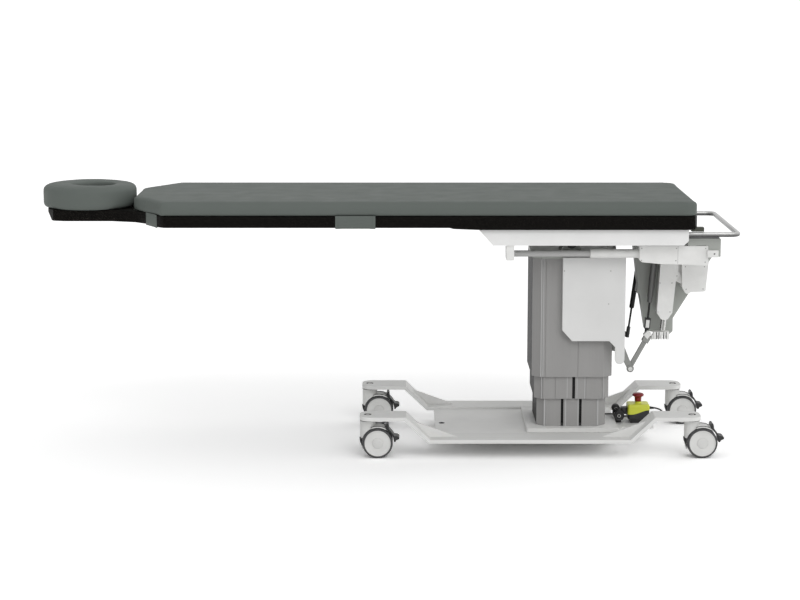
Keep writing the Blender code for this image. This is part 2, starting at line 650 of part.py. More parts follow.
def link_bracket():
    """Two cheeks from the column's foot side to the strut's lower pivot."""
    face = COLUMN_X + OUTER_SIZE[0] / 2 + FIT
    x, z = STRUT_PIVOT
    cheek = [(face, 0.325), (face, 0.420), (face + 0.012, 0.420)]
    cheek += arc((x, z), LINK_EYE_RADIUS, 25, -155, 8) + [(0.782, 0.316)]
    parts = []
    for centre in (DRIVE_Y - 0.0145, DRIVE_Y + 0.0145):
        parts.append(prism(cheek, "Y", centre - 0.004, centre + 0.004))
    pad = box((face, face + 0.008), (DRIVE_Y - 0.030, 0.085), (0.325, 0.420))
    anchor_x, anchor_z = FAR_SPRING_END
    tab = [(face, anchor_z - 0.025), (face, anchor_z + 0.040), (face + 0.006, anchor_z + 0.040)]
    tab += arc((anchor_x, anchor_z), 0.007, 60, -120, 5)
    tab_y = FAR_SPRING_Y + SPRING_END_RADIUS + FIT
    shape = union(pad, *parts, prism(tab, "Y", tab_y, tab_y + 0.005))
    hole = bar((x, -0.2, z), (x, 0.0, z), STRUT_BOLT_RADIUS + FIT, 16)
    finish("link_bracket", cut(shape, hole), "bracket_grey")
    half = 0.0145 + 0.004
    radius = STRUT_BOLT_RADIUS
    far_side = 2 * half + 0.004 + 2 * FIT
    pin = lathe(((0.0, 0.0), (0.0, 0.0065), (0.004, 0.0065), (0.004, radius), (far_side, radius),
                 (far_side, 0.0065), (far_side + 0.004, 0.0065), (far_side + 0.004, 0.0)),
                (x, DRIVE_Y - half - 0.004 - FIT, z), (0, 1, 0), 16)
    finish("strut_pivot_pin", pin, "bright_steel", (x, DRIVE_Y, z), True)


def tilt_strut():
    """A brace from the link bracket to the collar under the tilt drive, and the finned yoke on it."""
    y = DRIVE_Y
    foot = Vector(STRUT_PIVOT)
    head = Vector(STRUT_HEAD)
    lean = (head - foot).normalized()
    across = Vector((lean.y, -lean.x)) * STRUT_HALF
    blade = prism([foot - across, foot + across, head + across, head - across], "Y", y - STRUT_HALF, y + STRUT_HALF)
    eye = bar((foot.x, y - 0.010, foot.y), (foot.x, y + 0.010, foot.y), LINK_EYE_RADIUS, 20)
    wide = across * 1.6
    low = head - lean * 0.020
    high = head + lean * 0.006
    collar = prism([low - wide, low + wide, high + wide, high - wide], "Y", y - 0.011, y + 0.011)
    hole = bar((foot.x, y - 0.05, foot.y), (foot.x, y + 0.05, foot.y), STRUT_BOLT_RADIUS + FIT, 16)
    finish("tilt_strut", cut(union(blade, eye, collar), hole), "bracket_grey", (foot.x, y, foot.y))
    corner = high + wide
    arm = [(corner.x + FIT, corner.y - 0.010), (YOKE_X[0] + 0.002, YOKE_Z[0] + 0.002),
           (YOKE_X[0] + 0.002, YOKE_Z[1] - 0.004), (corner.x + FIT, corner.y + 0.002)]
    yoke = box(YOKE_X, (y - YOKE_HALF, y + YOKE_HALF), YOKE_Z)
    slots = [box((x, x + 0.0045), (y - 0.02, y + 0.02), (YOKE_Z[0] - 0.01, YOKE_Z[0] + 0.014))
             for x in (0.9075, 0.9160, 0.9260, 0.9350)]
    finish("rod_yoke", union(cut(yoke, *slots), prism(arm, "Y", y - 0.009, y + 0.009)), "drive_white")


def tilt_beam():
    half = BEAM_HALF
    beam = box(BEAM_X, (-half, half), BEAM_Z)
    hanger = [(COLUMN_X + 0.045, BEAM_Z[0] + 0.010), (COLUMN_X - 0.045, BEAM_Z[0] + 0.010)]
    hanger += arc((COLUMN_X, TILT_Z), 0.021, 180, 360, 8)
    shape = union(beam, prism(hanger, "Y", -half, half))
    pin = bar((COLUMN_X, -0.1, TILT_Z), (COLUMN_X, 0.1, TILT_Z), TILT_PIN_RADIUS + FIT)
    shaft = bar((0.3, 0, ROLL_Z), (1.2, 0, ROLL_Z), ROLL_SHAFT_RADIUS + FIT)
    finish("tilt_beam", cut(shape, pin, shaft), "bracket_grey", (COLUMN_X, 0, TILT_Z))
    roll = bar((ROLL_SHAFT_X[0], 0, ROLL_Z), (ROLL_SHAFT_X[1], 0, ROLL_Z), ROLL_SHAFT_RADIUS)
    finish("roll_pivot_shaft", roll, "bright_steel", (COLUMN_X, 0, ROLL_Z), True)


def v_bracket():
    """A folded channel below the beam, open at its foot, with the stud that the tilt drive hangs on."""
    top = BEAM_Z[0] - FIT
    outline = [(0.829, top), (1.0965, top), (1.0965, 0.634), (0.9675, 0.423), (0.9675, 0.378), (0.952, 0.364),
               (0.875, 0.382), (0.8537, 0.503), (0.844, 0.509), (0.848, 0.536), (0.836, 0.628)]
    shape = prism(outline, "Y", -V_HALF, V_HALF)
    inside = [(0.836, top + 0.01), (1.088, top + 0.01), (1.088, 0.636), (0.9605, 0.425), (0.9605, 0.340),
              (0.885, 0.340), (0.8605, 0.506), (0.855, 0.536), (0.843, 0.628)]
    hollow = prism(inside, "Y", -V_HALF + V_WALL, V_HALF - V_WALL)
    x, z = DRIVE_HINGE
    stud = bar((x, DRIVE_Y - DRIVE_HALF - 0.004, z), (x, -V_HALF + 0.002, z), DRIVE_STUD_RADIUS, 16)
    finish("v_bracket", union(cut(shape, hollow), stud), "bracket_grey")


def tilt_drive():
    y = DRIVE_Y
    nose = Vector((DRIVE_NOSE[0], y, DRIVE_NOSE[1]))
    hinge = Vector((DRIVE_HINGE[0], y, DRIVE_HINGE[1]))
    lean = (hinge - nose).normalized()
    tube = [(0.972, 0.660), (0.936, 0.660), (0.916, 0.640), (0.905, 0.452), (0.9135, 0.440), (0.920, 0.430),
            (0.931, 0.4275), (0.942, 0.430), (0.9485, 0.440), (0.957, 0.452), (0.9665, 0.5595), (0.974, 0.569),
            (0.9815, 0.579), (0.974, 0.593), (0.976, 0.640)]
    motor = rounded([(0.9835, 0.634), (0.987, 0.540), (1.0005, 0.5145), (1.0165, 0.5235), (1.0645, 0.5255),
                     (1.0735, 0.634)], [0, 0, 0.008, 0.006, 0.006, 0.004], 3)
    web = [(0.960, 0.640), (0.962, 0.560), (0.992, 0.545), (0.992, 0.632)]
    back = y + DRIVE_HALF - 0.002
    head = bar((hinge.x, y - DRIVE_HALF, hinge.z), (hinge.x, back, hinge.z), DRIVE_EYE_RADIUS)
    body = union(prism(tube, "Y", y - DRIVE_HALF, back), prism(web, "Y", y - 0.010, back - 0.001),
                 prism(motor, "Y", y - DRIVE_HALF - 0.010, back), head)
    bore = bar(nose - lean * 0.03, nose + lean * DRIVE_BORE, DRIVE_ROD_RADIUS + FIT)
    eye = bar((hinge.x, y - 0.1, hinge.z), (hinge.x, y + 0.1, hinge.z), DRIVE_STUD_RADIUS + FIT, 16)
    finish("tilt_actuator_housing", cut(body, bore, eye), "drive_white", tuple(hinge))
    rod = bar(nose - lean * DRIVE_ROD_OUT, nose + lean * DRIVE_ROD_IN, DRIVE_ROD_RADIUS)
    finish("tilt_actuator_rod", rod, "bright_steel", tuple(nose), True)


def gas_spring(name, top, end, y, body_share, face):
    """A cylinder hung on a pin at its top that ends at the given face, and a rod out of its lower end."""
    start = Vector((top[0], y, top[1]))
    stop = Vector((end[0], y, end[1]))
    way = (stop - start).normalized()
    body = (stop - start).length * body_share
    hole = SPRING_ROD_RADIUS + FIT
    cylinder = lathe(((0.0, 0.0), (0.0, SPRING_RADIUS * 0.7), (0.003, SPRING_RADIUS), (body - 0.003, SPRING_RADIUS),
                      (body, SPRING_RADIUS * 0.8), (body, hole), (0.010, hole), (0.010, 0.0)), start, way, 16)
    pin = bar(start, (top[0], face, top[1]), 0.005, 12)
    finish(name + "_cylinder", union(cylinder, pin), "black_plastic", tuple(start), True)
    rod = bar(start + way * (body * 0.50), stop - way * 0.012, SPRING_ROD_RADIUS, 12)
    fitting = bar(stop - way * (SPRING_END_LENGTH - 0.008), stop + way * 0.008, SPRING_END_RADIUS, 12)
    finish(name + "_rod", union(rod, fitting), "bright_steel", tuple(stop), True)


def gas_springs():
    gas_spring("near_gas_spring", NEAR_SPRING_TOP, NEAR_SPRING_END, NEAR_SPRING_Y, 0.66, -V_HALF - FIT)
    gas_spring("far_gas_spring", FAR_SPRING_TOP, FAR_SPRING_END, FAR_SPRING_Y, 0.694, V_HALF + FIT)


def roll_drive():
    x, y = ROLL_DRIVE_X, ROLL_DRIVE_Y
    seat = box((x - 0.020, x + 0.020), (V_HALF + FIT, y), (0.470, 0.500))
    body = union(bar((x, y, 0.460), (x, y, 0.610), ROLL_DRIVE_RADIUS), seat)
    bore = bar((x, y, 0.475), (x, y, 0.7), 0.008 + FIT)
    finish("roll_actuator_housing", cut(body, bore), "drive_white", (x, y, 0.46), True)
    knuckle = bar((x - 0.010, y, 0.654), (x + 0.010, y, 0.654), 0.006, 16)
    rod = union(bar((x, y, 0.515), (x, y, 0.652), 0.008), knuckle)
    finish("roll_actuator_rod", rod, "bright_steel", (x, y, 0.46), True)


def roll_cradle():
    inner = GUIDE_Y[0] + 0.002
    shapes = []
    for x in (CRADLE_HEAD_X, CRADLE_FOOT_X):
        shapes.append(box(x, (-inner, inner), (0.700, 0.745)))
    for side in (-1, 1):
        low, high = sorted((side * GUIDE_Y[0], side * GUIDE_Y[1]))
        shapes.append(box((CRADLE_HEAD_X[0], CRADLE_FOOT_X[1]), (low, high), GUIDE_Z))
    frame = union(*shapes)
    span = (ROLL_DRIVE_X - 0.015, ROLL_DRIVE_X + 0.015)
    arm = box(span, (ROLL_DRIVE_Y - 0.012, inner), (0.716, 0.744))
    drop = box(span, (ROLL_DRIVE_Y - 0.012, ROLL_DRIVE_Y + 0.012), (0.6648, 0.720))
    frame = union(frame, arm, drop)
    bore = bar((0.3, 0, ROLL_Z), (1.2, 0, ROLL_Z), ROLL_SHAFT_RADIUS + FIT)
    finish("roll_cradle", cut(frame, bore), "bracket_grey", (COLUMN_X, 0, ROLL_Z))


def foot_end_bracket():
    """Folded plate on the cradle's near foot corner, which carries the slide drive."""
    x_low = CRADLE_FOOT_X[1] + FIT
    x_high = BRACKET_FOOT_X
    z_top, z_step, z_low = BRACKET_Z
    front = -GUIDE_Y[1]
    back = front + 0.040
    wall = 0.005
    side = [(x_low, z_step), (x_low, z_top), (x_high - 0.004, z_top), (x_high, z_top - 0.004), (x_high, z_low),
            (BRACKET_TAB_X, z_low), (BRACKET_TAB_X, z_step)]
    shape = union(prism(side, "Y", front, front + wall),
                  box((x_low, x_high - 0.004), (front + 0.001, back), (z_top - wall, z_top)),
                  box((x_high - wall, x_high), (front + 0.001, back), (z_low, z_top - 0.004)),
                  box((x_low, x_low + wall), (front + 0.001, front + 0.110), (z_step + 0.002, z_top)))
    finish("foot_end_bracket", shape, "bracket_grey")


def slide_drive():
    y, z = SLIDE_Y, SLIDE_Z
    motor = prism(SLIDE_MOTOR_OUTLINE, "Y", y - SLIDE_MOTOR_HALF, y + SLIDE_MOTOR_HALF)
    face = -GUIDE_Y[1] - FIT
    clip_low, clip_high = (0.6624, 0.6853)
    foot_x = SLIDE_MOTOR_OUTLINE[1][0]
    clip = union(box((foot_x - 0.004, BRACKET_TAB_X - 2 * FIT), (face - 0.010, face + 0.008), (clip_low, clip_high)),
                 box((foot_x - 0.004, 1.0812), (face - 0.010, face), (clip_low, clip_high)))
    throat = bar((SLIDE_TUBE_X, y, z), (SLIDE_THROAT_X, y, z), SLIDE_TUBE_RADIUS + FIT)
    finish("slide_motor_box", cut(union(motor, clip), throat), "drive_white")
    tube = cut(bar((SLIDE_TUBE_X, y, z), (SLIDE_THROAT_X - FIT, y, z), SLIDE_TUBE_RADIUS),
               bar((0.5, y, z), (SLIDE_THROAT_X - 0.010, y, z), SLIDE_ROD_RADIUS + FIT))
    finish("slide_actuator_tube", tube, "drive_white", (SLIDE_TUBE_X, y, z), True)
    rod = bar((LUG_X[0] + 0.004, y, z), (0.775, y, z), SLIDE_ROD_RADIUS)
    finish("slide_actuator_rod", rod, "column_grey", (LUG_X[0], y, z), True)
    neck = box(LUG_X, (-RAIL_SIDE_Y[1] + 0.004, -RAIL_SIDE_Y[1] + 0.026), (LUG_TOP_Z - 0.001, TOP_RAIL_Z[0] - FIT))
    lug = box(LUG_X, (-RAIL_SIDE_Y[1] + 0.004, y + 0.012), (z - 0.014, LUG_TOP_Z))
    tip = bar((sum(LUG_X) / 2, y, z - 0.020), (sum(LUG_X) / 2, y, z - 0.010), 0.006, 12)
    eye = bar((LUG_X[0] + 0.0035, y, z), (LUG_X[1] + 0.01, y, z), SLIDE_ROD_RADIUS + FIT)
    finish("slide_lug", cut(union(lug, neck, tip), eye), "drive_white")


def top_rails():
    z = TOP_RAIL_Z
    outline = [(TOP_RAIL_X[0], z[1]), (TOP_RAIL_X[0] + 0.0465, z[0]), (TOP_RAIL_X[1] - 0.015, z[0]),
               (TOP_RAIL_X[1], z[0] + 0.015), (TOP_RAIL_X[1], z[1])]
    for name, side in (("near_top_rail", -1), ("far_top_rail", 1)):
        low, high = sorted((side * RAIL_SIDE_Y[0], side * RAIL_SIDE_Y[1]))
        web = prism(outline, "Y", low, high)
        shelf_low, shelf_high = sorted((side * (GUIDE_Y[0] - 0.012), side * (RAIL_SIDE_Y[0] + 0.001)))
        shelf = box((TOP_RAIL_X[0] + 0.01, TOP_RAIL_X[1]), (shelf_low, shelf_high), (GUIDE_Z[1] + SLIDE_FIT, z[1]))
        lip_low, lip_high = sorted((side * (GUIDE_Y[1] + SLIDE_FIT), side * (RAIL_SIDE_Y[0] + 0.001)))
        lip = box((TOP_RAIL_X[0] + 0.04, TOP_RAIL_X[1]), (lip_low, lip_high), (GUIDE_Z[0], z[1] - 0.001))
        finish(name, union(web, shelf, lip), "white_paint")


def carbon_top():
    """The panel is thicker from the column to its foot end, and bevelled below at the head end."""
    near = [(TOP_FOOT_X, -TOP_HALF + PAD_CORNER), (TOP_FOOT_X - 0.009, -TOP_HALF + 0.009),
            (TOP_FOOT_X - PAD_CORNER, -TOP_HALF), (-0.711, -TOP_HALF), (HEAD_TAPER[1][0], -HEAD_TAPER[1][1]),
            (HEAD_TAPER[0][0], -HEAD_TAPER[0][1]), (-0.821, -0.158), (-0.901, -0.130), (-1.060, -0.130),
            (-1.095, -0.118), (-1.117, -0.080), (-1.124, -0.035)]
    outline = near + [(x, -y) for x, y in reversed(near)]
    plan = prism(outline, "Z", TOP_THICK_Z - 0.01, TOP_Z[1])
    head_end = min(x for x, _ in outline)
    below = list(TOP_STEPS) + [(head_end + 0.030, TOP_Z[0]), (head_end + 0.022, TOP_Z[0]), (head_end, TOP_Z[1])]
    above = [(head_end, TOP_Z[1] + 0.01), (TOP_FOOT_X + 0.01, TOP_Z[1] + 0.01), (TOP_FOOT_X + 0.01, TOP_THICK_Z)]
    side = prism(below[1:] + above, "Y", -TOP_HALF - 0.01, TOP_HALF + 0.01)
    finish("carbon_top", combine(plan, side, "INTERSECT"), "carbon")


def mattress():
    corner = PAD_CORNER
    near = [(TOP_FOOT_X + 0.002, -TOP_HALF + corner), (TOP_FOOT_X - 0.007, -TOP_HALF + 0.009),
            (TOP_FOOT_X + 0.002 - corner, -TOP_HALF), (PAD_SHOULDER_X, -TOP_HALF), (-0.732, -0.286),
            (-0.781, -0.204), (-0.812, -0.158), (PAD_HEAD_X, -PAD_END_HALF)]
    outline = near + [(x, -y) for x, y in reversed(near)]
    shape = prism(outline, "Z", *PAD_Z)
    edges = [edge for edge in shape.edges if all(v.co.z > PAD_Z[1] - 0.001 for v in edge.verts)]
    bmesh.ops.bevel(shape, geom=edges, offset=0.006, segments=2, profile=0.5, affect="EDGES")
    finish("mattress_pad", shape, "pad_vinyl")


def face_cushion():
    centre = (RING_X, 0.0)
    outer = arc(centre, RING_RADIUS, 0, 360 - 360 / 36, 35)
    ring = prism(outer, "Z", PAD_Z[0], RING_TOP)
    edges = [edge for edge in ring.edges if all(v.co.z > RING_TOP - 0.001 for v in edge.verts)]
    bmesh.ops.bevel(ring, geom=edges, offset=0.020, segments=3, profile=0.5, affect="EDGES")
    low_edges = [edge for edge in ring.edges if all(v.co.z < PAD_Z[0] + 0.0005 for v in edge.verts)]
    bmesh.ops.bevel(ring, geom=low_edges, offset=0.008, segments=1, profile=0.5, affect="EDGES")
    hole = arc((RING_X + 0.020, 0), 0.062, -150, 150, 14) + arc((RING_X - 0.034, 0), 0.022, 130, 230, 4)
    finish("face_cushion", cut(ring, prism(hole, "Z", PAD_Z[0] - 0.02, RING_TOP + 0.02)), "pad_vinyl")


def strap_across(first, second):
    """A band under the top and up its sides, between two stations (x, half width) of its outline."""
    along = (Vector(second) - Vector(first)).normalized()
    normal = Vector((-along.y, along.x))
    low = TOP_Z[0] - FIT - STRAP_THICKNESS
    lines = [[Vector(point) + normal * reach for point in (first, second)]
             for reach in (FIT, FIT + STRAP_THICKNESS, FIT + STRAP_THICKNESS / 2)]
    walls = []
    for side in (-1, 1):
        inner = [(point.x, point.y * side) for point in lines[0]]
        outer = [(point.x, point.y * side) for point in reversed(lines[1])]
        walls.append(prism(inner + outer, "Z", low, PAD_Z[0]))
    start, end = lines[2]
    plan = [(start.x, -start.y), (end.x, -end.y), (end.x, end.y), (start.x, start.y)]
    floor = prism(plan, "Z", low, TOP_Z[0] - FIT)
    return union(walls[0], floor, walls[1])


def straps():
    """Flat bands that go round under the top and end at the pad."""
    finish("middle_strap", strap_across((MID_STRAP_X[0], TOP_HALF), (MID_STRAP_X[1], TOP_HALF)), "pad_vinyl")
    near, far = HEAD_TAPER
    slope = (far[1] - near[1]) / (far[0] - near[0])
    stations = [(x, near[1] + (x - near[0]) * slope) for x in HEAD_STRAP_X]
    finish("head_strap", strap_across(*stations), "pad_vinyl")


def push_handle():
    """A U of round tube whose legs end at the top rails."""
    leg = HANDLE_LEG_Y
    bend = HANDLE_BEND
    path = [(HANDLE_START_X, -leg)]
    path += arc((HANDLE_END_X - bend, -leg + bend), bend, -90, 0, 5)
    path += arc((HANDLE_END_X - bend, leg - bend), bend, 0, 90, 5)
    path.append((HANDLE_START_X, leg))
    spline_points = [Vector((x, y, HANDLE_Z)) for x, y in path]
    shape = sweep(spline_points, HANDLE_RADIUS, 12)
    finish("push_handle", shape, "bright_steel", (0, 0, 0), True)


def sweep(points, radius, sides):
    """A round bar along a path that lies in a level plane."""
    shape = bmesh.new()
    rings = []
    up = Vector((0, 0, 1))
    for i, point in enumerate(points):
        before = (point - points[i - 1]).normalized() if i else None
        after = (points[i + 1] - point).normalized() if i < len(points) - 1 else None
        way = ((before or after) + (after or before)).normalized()
        across = way.cross(up).normalized()
        stretch = 1.0 / max(0.5, way.dot(after or before))
        ring = []
        for k in range(sides):
            angle = 2 * math.pi * (k + 0.5) / sides
            ring.append(shape.verts.new(point + across * radius * stretch * math.cos(angle)
                                        + up * radius * math.sin(angle)))
        rings.append(ring)
    for first, second in zip(rings, rings[1:]):
        for k in range(sides):
            m = (k + 1) % sides
            shape.faces.new((first[k], first[m], second[m], second[k]))
    shape.faces.new(rings[0][::-1])
    shape.faces.new(rings[-1])
    return shape


def emergency_stop():
    half_x, half_y = STOP_SIZE[0] / 2, STOP_SIZE[1] / 2
    plan = rounded([(STOP_X - half_x, -half_y), (STOP_X + half_x, -half_y), (STOP_X + half_x, half_y),
                    (STOP_X - half_x, half_y)], 0.007, 3)
    skirt = prism(plan, "Z", STOP_SKIRT_Z, STOP_BASE_Z[1])
    foot = box((STOP_X - half_x + 0.010, STOP_X + half_x - 0.010), (-half_y + 0.010, half_y - 0.010),
               (STOP_BASE_Z[0], STOP_SKIRT_Z + 0.001))
    finish("stop_box_base", union(skirt, foot), "black_plastic")
    cover = prism(plan, "Z", *STOP_COVER_Z)
    edges = [edge for edge in cover.edges if all(v.co.z > STOP_COVER_Z[1] - 0.001 for v in edge.verts)]
    bmesh.ops.bevel(cover, geom=edges, offset=0.004, segments=2, profile=0.5, affect="EDGES")
    collar = bar((STOP_X, 0, STOP_COVER_Z[1] - 0.002), (STOP_X, 0, STOP_COVER_Z[1] + 0.0025), 0.0125)
    well = bar((STOP_X, 0, STOP_COVER_Z[0] + 0.006), (STOP_X, 0, STOP_COVER_Z[1] + 0.02), 0.0085 + FIT)
    exit_x, exit_y, exit_z = LEAD_POINTS[0]
    gland = bar((STOP_X + half_x - 0.002, exit_y, exit_z), (exit_x - FIT, exit_y, exit_z), 0.0045, 12)
    finish("stop_box_cover", cut(union(cover, collar, gland), well), "stop_yellow")
    low = STOP_COVER_Z[0] + STOP_STEM_LIFT
    finish("stop_button", lathe(STOP_BUTTON, (STOP_X, 0, low), (0, 0, 1)), "stop_red", (STOP_X, 0, low), True)
    end = STOP_X - half_x - FIT
    arm = box((end - 0.030, end), (-0.016, 0.016), (0.0850, 0.1155))
    knobs = []
    for x, y, z, radius in ((end - 0.0294, -0.016, 0.0872, 0.0135), (end - 0.0377, 0.012, 0.1085, 0.0125)):
        knobs.append(bar((x, y - 0.014, z), (x, y + 0.014, z), radius, 16))
    stand = box((end - 0.037, end - 0.006), (-0.020, 0.020), (PAN_TOP + FIT, 0.0860))
    finish("stop_bracket", union(arm, stand, *knobs), "black_plastic")


def smooth_route(points, spacing):
    """Points at an even spacing on a smooth curve through the given ones."""
    knots = [Vector(p) for p in points]
    fine = []
    for i in range(len(knots) - 1):
        before = knots[max(i - 1, 0)]
        after = knots[min(i + 2, len(knots) - 1)]
        start, stop = knots[i], knots[i + 1]
        for k in range(12):
            t = k / 12
            fine.append(0.5 * (2 * start + (stop - before) * t + (2 * before - 5 * start + 4 * stop - after) * t * t
                               + (3 * start - before - 3 * stop + after) * t ** 3))
    fine.append(knots[-1])
    route = [fine[0]]
    walked = 0.0
    for first, second in zip(fine, fine[1:]):
        walked += (second - first).length
        if walked >= spacing:
            route.append(second)
            walked = 0.0
    if (route[-1] - fine[-1]).length > spacing / 2:
        route.append(fine[-1])
    else:
        route[-1] = fine[-1]
    return route


def stop_lead():
    curve = bpy.data.curves.new("stop_lead", "CURVE")
    curve.dimensions = "3D"
    curve.bevel_depth = LEAD_RADIUS
    curve.bevel_resolution = 2
    curve.use_fill_caps = True
    spline = curve.splines.new("POLY")
    route = smooth_route(LEAD_POINTS, 0.010)
    spline.points.add(len(route) - 1)
    for point, place in zip(spline.points, route):
        point.co = (*place, 1.0)
    curve.materials.append(material("black_plastic"))
    lead = bpy.data.objects.new("stop_lead", curve)
    bpy.context.scene.collection.objects.link(lead)


def build():
    clear_scene()
    base_frame()
    casters()
    column()
    column_head()
    side_covers()
    link_bracket()
    tilt_strut()
    tilt_beam()
    v_bracket()
    tilt_drive()
    gas_springs()
    roll_drive()
    roll_cradle()
    foot_end_bracket()
    slide_drive()
    top_rails()
    carbon_top()
    mattress()
    face_cushion()
    straps()
    push_handle()
    emergency_stop()
    stop_lead()


build()
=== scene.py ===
"""Looks of the operating table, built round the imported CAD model.

Metres, +Z up, +X from the head end to the foot end, and -Y is the near side.
"""
import json
import math

import bmesh
import bpy
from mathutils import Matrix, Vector


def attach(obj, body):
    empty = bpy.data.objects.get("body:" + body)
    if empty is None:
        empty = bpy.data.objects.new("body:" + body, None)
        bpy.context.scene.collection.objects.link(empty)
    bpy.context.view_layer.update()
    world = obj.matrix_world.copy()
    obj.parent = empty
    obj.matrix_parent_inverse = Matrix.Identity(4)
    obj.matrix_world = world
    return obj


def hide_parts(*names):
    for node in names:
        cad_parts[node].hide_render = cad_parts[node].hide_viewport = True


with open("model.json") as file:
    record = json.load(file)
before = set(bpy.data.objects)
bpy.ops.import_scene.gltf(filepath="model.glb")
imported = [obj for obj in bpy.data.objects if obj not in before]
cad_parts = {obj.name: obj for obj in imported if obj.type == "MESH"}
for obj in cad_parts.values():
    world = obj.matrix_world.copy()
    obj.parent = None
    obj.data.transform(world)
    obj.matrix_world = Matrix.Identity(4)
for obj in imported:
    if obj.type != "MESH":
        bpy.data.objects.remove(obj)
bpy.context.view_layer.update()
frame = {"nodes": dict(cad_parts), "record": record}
BODY_OF = {node: body for body, nodes in frame["record"]["behaviour"]["bodies"].items() for node in nodes}
SLOT_OF = {row["node"]: row["material_slot"] for row in frame["record"]["subparts"]}

# Camera, which stands square to the near side and looks down a little
CAMERA_AT = (0.049, -7.092, 1.645)
CAMERA_PITCH = 80.67
CAMERA_LENS = 95.8

# Light: a weak soft sun, and a sky that is dimmer towards the head end than towards the foot end
SUN_STRENGTH = 0.55
SUN_SPREAD = 30
SUN_TURN = (52, 0, 16)
WORLD_STRENGTH = (0.47, 1.08)
FLOOR_SIZE = 120.0
FLOOR_WHITE = 1.3
FLOOR_BOUNCE = 0.93
DIRECT_RAYS = ("Is Camera Ray", "Is Glossy Ray", "Is Transmission Ray")


def vec(values):
    return Vector(tuple(values))


class Nodes:
    """A short way to write node-based materials."""

    def __init__(self, name):
        self.material = bpy.data.materials.new(name)
        self.material.use_nodes = True
        self.tree = self.material.node_tree
        self.shader = self.tree.nodes["Principled BSDF"]
        self.place = self.add("ShaderNodeTexCoord").outputs["Object"]

    def add(self, kind, **settings):
        node = self.tree.nodes.new(kind)
        for key, value in settings.items():
            setattr(node, key, value)
        return node

    def link(self, source, target):
        self.tree.links.new(source, target)
        return target

    def feed(self, socket, value):
        if isinstance(value, bpy.types.NodeSocket):
            self.link(value, socket)
        else:
            socket.default_value = value

    def feeds(self, node, **values):
        for name, value in values.items():
            self.feed(node.inputs[name], value)
        return node.outputs

    def math(self, operation, first, second=0, third=None):
        node = self.add("ShaderNodeMath", operation=operation)
        self.feed(node.inputs[0], first)
        self.feed(node.inputs[1], second)
        if third is not None:
            self.feed(node.inputs[2], third)
        return node.outputs[0]

    def stretch(self, scale, turn=(0, 0, 0)):
        return self.feeds(self.add("ShaderNodeMapping"), Vector=self.place, Scale=scale,
                          Rotation=[math.radians(angle) for angle in turn])["Vector"]

    def noise(self, scale, detail=3, where=None, rough=0.5):
        return self.feeds(self.add("ShaderNodeTexNoise"), Vector=where or self.place, Scale=scale,
                          Detail=detail, Roughness=rough)["Fac"]

    def cells(self, scale, feature="F1", where=None):
        return self.feeds(self.add("ShaderNodeTexVoronoi", feature=feature), Vector=where or self.place,
                          Scale=scale)["Distance"]

    def patches(self, scale, detail, low, high):
        """Noise that runs from low to high in soft patches."""
        return self.spread(self.noise(scale, detail), 0.3, 0.7, low, high)

    def height_of_normal(self):
        """1 on faces that look up, -1 on faces that look down."""
        split = self.add("ShaderNodeSeparateXYZ")
        self.link(self.add("ShaderNodeNewGeometry").outputs["Normal"], split.inputs[0])
        return split.outputs["Z"]

    def spread(self, value, low, high, new_low, new_high):
        node = self.add("ShaderNodeMapRange")
        self.feed(node.inputs["Value"], value)
        for index, number in zip((1, 2, 3, 4), (low, high, new_low, new_high)):
            node.inputs[index].default_value = number
        return node.outputs["Result"]

    def blend(self, factor, first, second):
        node = self.add("ShaderNodeMix", data_type="RGBA")
        self.feed(node.inputs["Factor"], factor)
        colours = [socket for socket in node.inputs if socket.type == "RGBA"]
        for socket, value in zip(colours, (first, second)):
            self.feed(socket, value if isinstance(value, bpy.types.NodeSocket) else (*value, 1))
        return [socket for socket in node.outputs if socket.type == "RGBA"][0]

    def colour(self, value):
        self.feed(self.shader.inputs["Base Color"], value)

    def rough(self, value):
        self.feed(self.shader.inputs["Roughness"], value)

    def bump(self, height, distance, strength=1):
        bumped = self.feeds(self.add("ShaderNodeBump"), Height=height, Distance=distance, Strength=strength)
        self.link(bumped["Normal"], self.shader.inputs["Normal"])


def linear(red, green, blue):
    """A shader colour from the 0 to 255 numbers of a picture."""
    return tuple(((value / 255 + 0.055) / 1.055) ** 2.4 for value in (red, green, blue))


def shade(colour, amount):
    return tuple(max(0, channel * amount) for channel in colour)


def paint(name, tone, roughness=0.42, painted_top_tone=1):
    """Powder coat: fine orange peel and slight clouding; faces that look up can get painted shade, their
    colour scaled by the last argument.
    """
    nodes = Nodes(name)
    dust = nodes.spread(nodes.noise(7, 4), 0.35, 0.75, 0, 1)
    coat = nodes.blend(dust, tone, shade(tone, 0.93))
    if painted_top_tone != 1:
        # Painted shade: the colour of faces that look up is scaled by the given factor.
        level = nodes.spread(nodes.height_of_normal(), 0.8, 0.97, 0, 1)
        coat = nodes.blend(level, coat, shade(tone, painted_top_tone))
    nodes.colour(coat)
    nodes.rough(nodes.patches(40, 3, roughness - 0.05, roughness + 0.07))
    nodes.bump(nodes.noise(900, 2), 0.00012, 0.5)
    return nodes.material


def moulded(name, tone, roughness=0.45, grain=1400):
    """Moulded plastic: a spark-eroded grain and faint shade changes."""
    nodes = Nodes(name)
    nodes.colour(nodes.blend(nodes.patches(18, 4, 0, 1), tone, shade(tone, 0.9)))
    nodes.rough(nodes.patches(55, 3, roughness - 0.06, roughness + 0.06))
    nodes.bump(nodes.noise(grain, 2), 0.0001, 0.5)
    return nodes.material


def metal(name, tone, roughness, stretch):
    """Ground or drawn metal with fine marks along one direction."""
    nodes = Nodes(name)
    nodes.shader.inputs["Metallic"].default_value = 1
    marks = nodes.noise(1, 3, nodes.stretch(stretch))
    nodes.colour(nodes.blend(nodes.spread(marks, 0.3, 0.7, 0, 1), tone, shade(tone, 0.82)))
    nodes.rough(nodes.spread(marks, 0.3, 0.7, roughness - 0.08, roughness + 0.1))
    nodes.bump(marks, 0.00006, 0.35)
    return nodes.material


